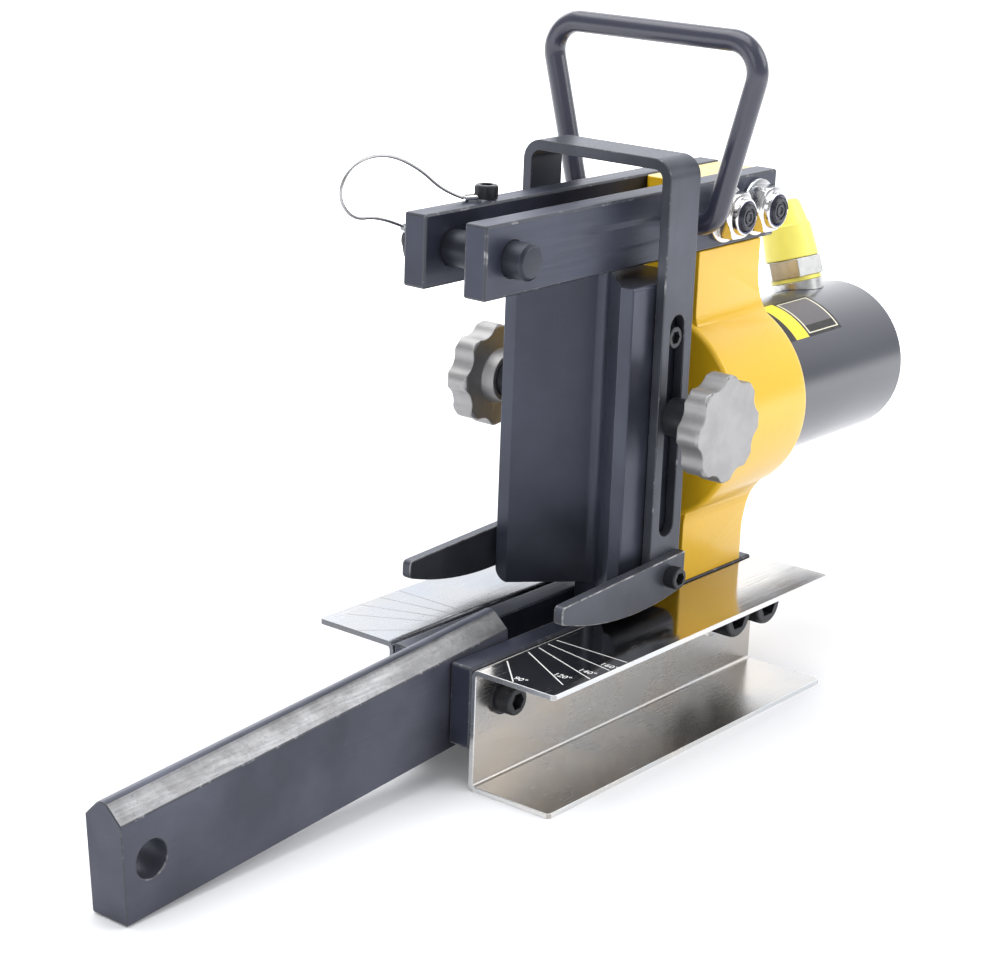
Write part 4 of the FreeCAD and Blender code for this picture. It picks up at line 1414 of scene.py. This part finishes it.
@dataclass
class ScaleMarks(SubAssembly):
    """The fan of angle lines on one channel, with plain numbers on the near one.

    Attributes:
        side: which channel carries it.
        fan_x: where the lines would meet, along the channel.
        fan_y: how far beyond the middle plane they would meet.
        angles: the lines' angles from the cross direction, in degrees.
        inner: where they start, from the middle plane.
        reach: their longest reach from where they would meet.
        width: a line's width.
        skin: how thick the ink is.
        edge_gap: how far the lines stay from the channel's edges.
        label_reach: how far the numbers are from where the lines would meet.
        label_turn: angle from a line to its number, in degrees.
        label_size: letter size of the numbers.
        label_weight: how much the numbers are thickened.
        label_steps: steps of a number's curves.
    """

    body: str = "frame"
    side: Side = Side.NEAR
    fan_x: float = -13.26 * MM
    fan_y: float = 8 * MM
    angles: tuple[int, ...] = (0, 10, 20, 30, 45)
    inner: float = 27.5 * MM
    reach: float = 81 * MM
    width: float = 0.6 * MM
    skin: float = 0.03 * MM
    edge_gap: float = 1 * MM
    label_reach: float = 72 * MM
    label_turn: float = 2.7
    label_size: float = 4.7 * MM
    label_weight: float = 0.045 * MM
    label_steps: int = 3

    def build(self) -> None:
        """Builds the lines, and the numbers on the near side."""
        name = self.side.name.lower()
        low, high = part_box(f"base_channel_{name}")
        sign = self.side.value
        outer = max(abs(low.y), abs(high.y)) - self.edge_gap
        apex = Vector((self.fan_x, -sign * self.fan_y, high.z + self.skin / 2))
        seats = []
        for lean in map(math.radians, self.angles):
            start = (self.inner + self.fan_y) / math.cos(lean)
            ends = [self.reach, (outer + self.fan_y) / math.cos(lean)]
            if lean:
                ends.append((self.fan_x - low.x - self.edge_gap) / math.sin(lean))
            away = Vector((-math.sin(lean), sign * math.cos(lean), 0))
            length = min(ends) - start
            place = apex + away * (start + length / 2)
            turn = (0.0, 0.0, math.atan2(away.y, away.x))
            seats.append((tuple(place), turn, (length, 1.0, 1.0)))
        ink = scale_ink if self.side is Side.NEAR else faint_ink
        lines = copy_tree.spread(f"scale_lines_{name}", self.stroke(), ink, seats)
        self.mount(lines, "bright_zinc")
        if self.side is Side.NEAR:
            self.build_numbers(high.z)

    def stroke(self) -> bpy.types.Mesh:
        """Makes one line of unit length along X, with pointed ends."""
        half, end = self.width / 2, 0.5
        near_side = [(-end, -half), (end, -half), (end + half, 0.0)]
        far_side = [(end, half), (-end, half), (-end - half, 0.0)]
        return prism(near_side + far_side, -self.skin / 2, self.skin / 2)

    def build_numbers(self, top: float) -> None:
        """Prints the bend angles beside the slanted lines.

        Args:
            top: height of the channel's top.
        """
        joined = bmesh.new()
        for angle in self.angles[1:]:
            text = bpy.data.curves.new("number", "FONT")
            text.body = f"{180 - 2 * angle}°"
            text.size = self.label_size
            text.extrude = self.skin / 2
            text.offset = self.label_weight
            text.align_x, text.align_y = "CENTER", "CENTER"
            text.resolution_u = self.label_steps
            drawn = in_scene("number", text)
            graph = bpy.context.evaluated_depsgraph_get()
            flat = bpy.data.meshes.new_from_object(drawn.evaluated_get(graph))
            lean = math.radians(angle - self.label_turn)
            x = self.fan_x - self.label_reach * math.sin(lean)
            y = self.fan_y - self.label_reach * math.cos(lean)
            quarter_turn = Matrix.Rotation(-math.pi / 2, 4, "Z")
            flat.transform(Matrix.Translation((x, y, top)) @ quarter_turn)
            joined.from_mesh(flat)
            bpy.data.objects.remove(drawn)
            bpy.data.meshes.remove(flat)
        bmesh.ops.remove_doubles(joined, verts=joined.verts, dist=SAME_POINT)
        numbers = finished("scale_numbers", mesh_of(joined), [scale_ink], smooth=False)
        self.mount(numbers, "bright_zinc")


@dataclass
class Fasteners(SubAssembly):
    """Bolts, nuts and washers through the frame. All its sizes are in millimetres.

    Attributes:
        across: width across the nuts' flats.
        core: radius under the thread.
        pitch: pitch of the thread.
        thread_turns: turns of thread on a bolt.
        thread_start: where the thread starts, from a bolt's end.
        shank: radius of a bolt above its thread.
        shank_start: where the shank starts and where it has its full radius.
        bolt_length: from a bolt's end to the underside of its head.
        bolt_end: profile of a bolt's end, with its turned rings.
        bolt_head: profile of a bolt's head, from its underside.
        nut: profile of a nut with a chamfered foot and a round collar.
        ring: profile of the locking ring inside the collar.
        washer_roll: how far the washers' rims are rolled.
        washer_ease: how far the roll's middle is from the corner.
        washer_bore: radius of the washers' bores.
        bore_ease: eased edge of those bores.
        sheet: thickness of the channels' sheet.
    """

    body: str = "frame"
    across: float = 21.0
    core: float = 6.15
    pitch: float = 2.0
    thread_turns: float = 7.0
    thread_start: float = 0.9
    shank: float = 6.9
    shank_start: Span = (16.0, 16.6)
    bolt_length: float = 62.5
    bolt_end: Profile = (
        (0.7, 0.0), (0.7, 1.5), (0.1, 1.9), (0.1, 2.9), (0.7, 3.2), (0.7, 3.9), (0.0, 4.3),
        (0.0, 5.2),
    )
    bolt_head: Profile = (
        (0.0, 9.9), (0.4, 9.9), (0.4, 12.3), (7.0, 12.3), (7.4, 11.7), (7.8, 11.0), (8.2, 10.3),
        (8.5, 9.4), (8.5, 8.2), (8.1, 7.4), (8.1, 0.0),
    )
    nut: Profile = (
        (0.0, 7.1), (0.0, 9.9), (0.15, 10.5), (0.35, 11.1), (0.6, 11.7), (0.95, 12.3),
        (7.0, 12.3), (7.35, 11.7), (7.6, 11.1), (7.8, 10.5), (7.95, 9.9), (8.05, 9.3), (8.3, 8.9),
        (10.0, 8.8), (10.5, 8.65), (10.85, 8.35), (11.0, 7.95), (10.9, 7.65), (10.2, 7.6),
        (10.2, 7.1),
    )
    ring: Profile = ((10.2, 7.05), (10.2, 7.6), (10.6, 7.6), (10.8, 7.4), (10.75, 7.05))
    washer_roll: float = 0.5
    washer_ease: float = 0.15
    washer_bore: float = 7.1
    bore_ease: float = 0.2
    sheet: float = 2.5

    def build(self) -> None:
        """Builds all its pieces."""
        upper = self.nut_seats("upper_nuts", Side.NEAR)
        lower = self.nut_seats("lower_nuts", Side.FAR)
        for name, seats in (("upper_nuts", upper), ("lower_nuts", lower)):
            nut = turned_mesh(self.nut, self.across)
            nuts = copy_tree.spread(name + "_turned", nut, bright_hardware, seats)
            self.mount(nuts, "zinc_hardware", name)
            rings = copy_tree.spread(name + "_rings", turned_mesh(self.ring), nylon_ring, seats)
            self.mount(rings, "zinc_hardware")
        bar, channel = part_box("upper_bar_far"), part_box("base_channel_far")
        self.build_washers("upper_washers", upper, bar[1].y)
        self.build_washers("lower_washers", lower, channel[0].y + self.sheet * MM)
        self.build_bolts()
        self.dress(black_screw, "lower_bolts", "pivot_screws", "pivot_washers")

    def pair(self, node: str, y: float, turn: float) -> list[Seat]:
        """Gives the seats of a pair of hexagons that fill the width of a frame node.

        Args:
            node: the frame node that holds the pair.
            y: where they sit.
            turn: their turn about X.

        Returns:
            The front seat and the rear seat.
        """
        low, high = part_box(node)
        corner = self.across / 2 / math.cos(HEX_TURN / 2) * MM
        height = (low.z + high.z) / 2
        places = ((x, y, height) for x in (low.x + corner, high.x - corner))
        return [(place, (turn, 0.0, 0.0), UNIT) for place in places]

    def nut_seats(self, node: str, side: Side) -> list[Seat]:
        """Gives the seats of a pair of nuts, from the frame's own pair."""
        low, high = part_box(node)
        face = high.y if side is Side.NEAR else low.y
        return self.pair(node, face, -side.value * math.pi / 2)

    def build_washers(self, name: str, seats: Sequence[Seat], face: float) -> None:
        """Builds the four washers of one pair of bolts, with their rims rolled.

        Args:
            name: the frame node of the washers.
            seats: the seats of the pair's nuts.
            face: how far from the middle plane the washers sit.
        """
        low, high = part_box(name)
        radius = (high.z - low.z) / 2 / MM
        thick = abs(abs(seats[0][0][1]) - abs(face)) / MM
        roll, ease = self.washer_roll, self.washer_ease
        bore, chamfer = self.washer_bore, self.bore_ease
        rim = (
            (0.0, radius - roll), (ease, radius - ease), (roll, radius),
            (thick - roll, radius), (thick - ease, radius - ease), (thick, radius - roll),
            (thick, bore + chamfer), (thick - chamfer, bore), (chamfer, bore),
            (0.0, bore + chamfer),
        )
        places = []
        for side in Side:
            turn = (-side.value * math.pi / 2, 0.0, 0.0)
            places += [((x, side.value * face, z), turn, UNIT) for (x, _, z), _, _ in seats]
        washers = copy_tree.spread(name + "_turned", turned_mesh(rim), bright_hardware, places)
        self.mount(washers, "zinc_hardware", name)

    def build_bolts(self) -> None:
        """Builds the upper hexagon bolts with their threads."""
        low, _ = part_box("upper_bolts")
        seats = self.pair("upper_bolts", low.y, -math.pi / 2)
        length, (start, full) = self.bolt_length, self.shank_start
        stem = (
            (self.thread_start, self.core), (start, self.core), (full, self.shank),
            (length, self.shank),
        )
        head = tuple((length + height, radius) for height, radius in self.bolt_head)
        bolt = turned_mesh(self.bolt_end + stem + head, self.across)
        bolts = copy_tree.spread("upper_bolts_turned", bolt, thread_black, seats)
        self.mount(bolts, "black_hardware", "upper_bolts")
        values = {
            "Radius": self.core * MM,
            "Pitch": self.pitch * MM,
            "Turns": self.thread_turns,
        }
        seed = bpy.data.meshes.new("thread_seed")
        wound = thread_tree.grow("thread_part", seed, thread_black, values)
        ridge = wound.data.copy()
        bpy.data.objects.remove(wound)
        step = self.thread_start * MM
        starts = [((x, y + step, z), turn, stretch) for (x, y, z), turn, stretch in seats]
        threads = copy_tree.spread("upper_bolts_thread", ridge, thread_black, starts)
        self.mount(threads, "black_hardware")


@dataclass(frozen=True)
class HeadRow:
    """The heads of one frame node of cap screws.

    Attributes:
        node: the frame node's name.
        size: the size of its heads.
        facing: which way they look.
    """

    node: str
    size: HeadSize
    facing: Facing = Facing.OUT


@dataclass
class ScrewKnurls(SubAssembly):
    """The knurled rims of the cap screws that ride on one body.

    Attributes:
        heads: the rows of heads.
        pitch: distance from one ridge to the next.
        base: half the width of a ridge's base.
        crest: how far a ridge stands out, and how far it goes in.
        knurled_share: the knurled share of a head's length.
        pair_share: a row longer than this many radii has two heads on a side.
        clear: heads on a side reach at least this far beyond their own length.
    """

    heads: tuple[HeadRow, ...] = ()
    pitch: float = 0.85 * MM
    base: float = 0.3 * MM
    crest: float = 0.16 * MM
    knurled_share: float = 0.72
    pair_share: float = 2.2
    clear: float = 20 * MM

    def build(self) -> None:
        """Rolls one knurl for each row of heads."""
        for row in self.heads:
            radius, length = (size * MM for size in row.size.value)
            knurled = length * self.knurled_share
            outline = [(-self.crest, -self.base), (-self.crest, self.base), (self.crest, 0)]
            ridge = prism(outline, -knurled / 2, knurled / 2)
            ridges = self.ridges(radius, self.head_axes(row, radius, length))
            piece = copy_tree.spread(row.node + "_knurl", ridge, black_screw, ridges)
            self.mount(piece, "black_hardware")

    def head_axes(self, row: HeadRow, radius: float, length: float) -> list[tuple[Vector, Vector]]:
        """Finds the heads of a row.

        Args:
            row: the row.
            radius: the heads' radius.
            length: the heads' length.

        Returns:
            Middle and direction of each head.
        """
        low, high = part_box(row.node)
        middle = (low + high) / 2
        if row.facing is Facing.UP:
            return [(Vector((middle.x, middle.y, high.z - length / 2)), Vector((0, 0, 1)))]
        paired = high.x - low.x > self.pair_share * radius
        columns = (low.x + radius, high.x - radius) if paired else (middle.x,)
        tips = {Side.NEAR: low.y + length / 2, Side.FAR: high.y - length / 2}
        heads = []
        for side, tip in tips.items():
            if side.value * tip + length / 2 > length + self.clear:
                out = Vector((0, side.value, 0))
                heads += [(Vector((x, tip, middle.z)), out) for x in columns]
        return heads

    def ridges(self, radius: float, heads: Iterable[tuple[Vector, Vector]]) -> list[Seat]:
        """Gives the seats of the ridges round some heads.

        Args:
            radius: the heads' radius.
            heads: middle and direction of each head.

        Returns:
            The seats.
        """
        count = round(2 * math.pi * radius / self.pitch)
        seats = []
        for middle, axis in heads:
            upright = axis.to_track_quat("Z", "Y").to_matrix()
            for i in range(count):
                turn = upright @ Matrix.Rotation(2 * math.pi * i / count, 3, "Z")
                place = middle + turn @ Vector((radius, 0, 0))
                seats.append((tuple(place), tuple(turn.to_euler()), UNIT))
        return seats


# Setting of the picture


@dataclass(frozen=True)
class Lamp:
    """A soft square lamp.

    Attributes:
        name: its name.
        place: where it hangs.
        size: length of its sides.
        power: its power, in watts.
    """

    name: str
    place: Point
    size: float
    power: float


@dataclass
class Studio:
    """Camera, lamps, background and floor.

    Attributes:
        camera_place: where the camera stands.
        azimuth: its direction round the object, in degrees.
        elevation: its direction above the horizon.
        roll: its tilt about its own axis.
        lens: focal length in millimetres.
        sensor: width of the picture in the camera, in millimetres.
        clip: nearest and farthest distance that the camera sees.
        aim: the place that the lamps shine at.
        lamps: the lamps.
        room_light: strength of the plain light from all round.
        room_tint: its colour.
        gloss_tint: colour of the room in reflections.
        wall_way: direction of the bright wall, along X and Y.
        wall_span: where the wall gets bright, along that direction.
        wall_light: strength of the room and of the wall in reflections.
        ceiling_span: where the wall ends above.
        floor_size: length of the floor's sides.
        floor_colour: the floor's colour.
        glow_span: from where to where the floor gets brighter than its light, away from the middle.
        glow: how much brighter it is there.
    """

    camera_place: Point = (-0.830648, -0.639059, 0.441924)
    azimuth: float = -51.6162
    elevation: float = 16.8610
    roll: float = 2.1373
    lens: float = 87.4437
    sensor: float = 36.0
    clip: Span = (0.05, 60.0)
    aim: Point = (0.02, 0.0, 0.14)
    lamps: tuple[Lamp, ...] = (
        Lamp("key_lamp", (0.95, -1.25, 1.15), 1.1, 12.5),
        Lamp("top_lamp", (-0.1, 0.35, 1.9), 1.8, 30.0),
        Lamp("back_lamp", (0.7, 1.6, 0.9), 1.2, 9.0),
        Lamp("front_lamp", (-1.9, -0.2, 0.9), 0.9, 4.0),
    )
    room_light: float = 0.68
    room_tint: Rgb = (0.96, 0.98, 1.0)
    gloss_tint: Rgb = (0.97, 0.98, 1.0)
    wall_way: tuple[float, float] = (0.75, 0.55)
    wall_span: Span = (0.28, 0.66)
    wall_light: Span = (0.42, 1.85)
    ceiling_span: Span = (0.6, 0.82)
    floor_size: float = 12.0
    floor_colour: Rgb = (0.86, 0.86, 0.88)
    glow_span: Span = (0.3, 1.1)
    glow: Span = (0.09, 1.0)

    def build(self) -> None:
        """Sets up everything round the object."""
        self.build_camera()
        for lamp in self.lamps:
            self.hang(lamp)
        self.build_world()
        self.build_floor()
        bpy.context.scene.view_settings.view_transform = "Standard"

    def build_camera(self) -> None:
        """Places the camera at the photograph's angle."""
        data = bpy.data.cameras.new("camera")
        data.lens = self.lens
        data.sensor_width = self.sensor
        data.clip_start, data.clip_end = self.clip
        a, e, r = (math.radians(v) for v in (self.azimuth, self.elevation, self.roll))
        back = Vector((math.sin(a) * math.cos(e), -math.cos(a) * math.cos(e), math.sin(e)))
        right = Vector((math.cos(a), math.sin(a), 0.0))
        up = back.cross(right)
        across = right * math.cos(r) + up * math.sin(r)
        upright = up * math.cos(r) - right * math.sin(r)
        turn = Matrix((across, upright, back)).transposed().to_4x4()
        camera = in_scene("camera", data)
        camera.matrix_world = Matrix.Translation(self.camera_place) @ turn
        bpy.context.scene.camera = camera

    def hang(self, lamp: Lamp) -> None:
        """Hangs one lamp and points it at the object."""
        data = bpy.data.lights.new(lamp.name, "AREA")
        data.shape = "SQUARE"
        data.size = lamp.size
        data.energy = lamp.power
        hung = in_scene(lamp.name, data)
        hung.location = lamp.place
        hung.rotation_mode = "QUATERNION"
        way = Vector(self.aim) - Vector(lamp.place)
        hung.rotation_quaternion = way.to_track_quat("-Z", "Y")

    def build_world(self) -> None:
        """Makes a white background for the camera and a plain light room for the rest."""
        world = bpy.data.worlds.new("room")
        world.use_nodes = True
        world.node_tree.nodes.clear()
        sheet = NodeSheet(world.node_tree)
        rays = sheet.add("ShaderNodeLightPath").outputs
        direction = sheet.add("ShaderNodeTexCoord").outputs["Generated"]
        way = sheet.add("ShaderNodeSeparateXYZ", {0: direction}).outputs
        parts = [sheet.math("MULTIPLY", way[i], share) for i, share in enumerate(self.wall_way)]
        wall = sheet.spread(sheet.math("ADD", *parts), self.wall_span, self.wall_light)
        below_ceiling = sheet.spread(way[2], self.ceiling_span, (1.0, 0.0))
        lit_wall = sheet.math("MULTIPLY", wall, below_ceiling)
        gloss = sheet.math("MAXIMUM", lit_wall, self.wall_light[0])
        glossy, plain, white = (
            sheet.add("ShaderNodeBackground", {"Color": rgba(tint), "Strength": strength})
            for tint, strength in (
                (self.gloss_tint, gloss), (self.room_tint, self.room_light), (UNIT, 1.0)
            )
        )
        shining = sheet.math("MAXIMUM", rays["Is Glossy Ray"], rays["Is Transmission Ray"])
        lit = self.mixed(sheet, shining, plain, glossy)
        seen = self.mixed(sheet, rays["Is Camera Ray"], lit, white)
        sheet.add("ShaderNodeOutputWorld", {"Surface": seen.outputs[0]})
        bpy.context.scene.world = world

    def build_floor(self) -> None:
        """Lays the pale floor, which keeps the object's shadow."""
        shell = bmesh.new()
        half = self.floor_size / 2
        corners = ((-half, -half), (half, -half), (half, half), (-half, half))
        shell.faces.new([shell.verts.new((x, y, 0.0)) for x, y in corners])
        made = bpy.data.materials.new("floor")
        made.use_nodes = True
        made.node_tree.nodes.clear()
        sheet = NodeSheet(made.node_tree)
        rays = sheet.add("ShaderNodeLightPath").outputs
        matt = sheet.add("ShaderNodeBsdfDiffuse", {"Color": rgba(self.floor_colour)})
        place = sheet.place()
        distance = sheet.add("ShaderNodeVectorMath", {0: place}, operation="LENGTH")
        strength = sheet.spread(distance.outputs["Value"], self.glow_span, self.glow)
        glow = sheet.add("ShaderNodeEmission", {"Color": rgba(UNIT), "Strength": strength})
        both = sheet.add("ShaderNodeAddShader", {0: matt.outputs[0], 1: glow.outputs[0]})
        seen = sheet.math("MAXIMUM", rays["Is Camera Ray"], rays["Is Glossy Ray"])
        mixed = self.mixed(sheet, seen, matt, both)
        sheet.add("ShaderNodeOutputMaterial", {"Surface": mixed.outputs[0]})
        mesh = mesh_of(shell)
        mesh.materials.append(made)
        in_scene("floor", mesh)

    def mixed(
        self, sheet: NodeSheet, share: Any, a: bpy.types.Node, b: bpy.types.Node
    ) -> bpy.types.Node:
        """Mixes two shaders, from a where share is 0 to b where it is 1."""
        return sheet.add("ShaderNodeMixShader", {0: share, 1: a.outputs[0], 2: b.outputs[0]})


def main() -> None:
    """Builds the studio and every sub-assembly in order."""
    logging.basicConfig(level=logging.INFO, format="%(name)s: %(message)s")
    Studio().build()
    Lanyard().build()
    MachineFrame().build()
    BarrelSticker().build()
    Ram().build()
    Support().build()
    ClampKnob("knob_near", Side.NEAR).build()
    ClampKnob("knob_far", Side.FAR).build()
    SwingArm().build()
    LockPin().build()
    Coupler().build()
    DustCap().build()
    Fasteners().build()
    for side in Side:
        ScaleMarks(side=side).build()
    frame_heads = (
        HeadRow("pivot_screws", HeadSize.M8),
        HeadRow("lower_bolts", HeadSize.M14),
        HeadRow("lanyard_screw", HeadSize.M6, Facing.UP),
    )
    ScrewKnurls("frame", frame_heads).build()
    ScrewKnurls("bracket", (HeadRow("finger_screws", HeadSize.M6),)).build()
    ScrewKnurls("lock_pin", (HeadRow("lock_pin_screw", HeadSize.M6),)).build()


if __name__ == "__main__":
    main()
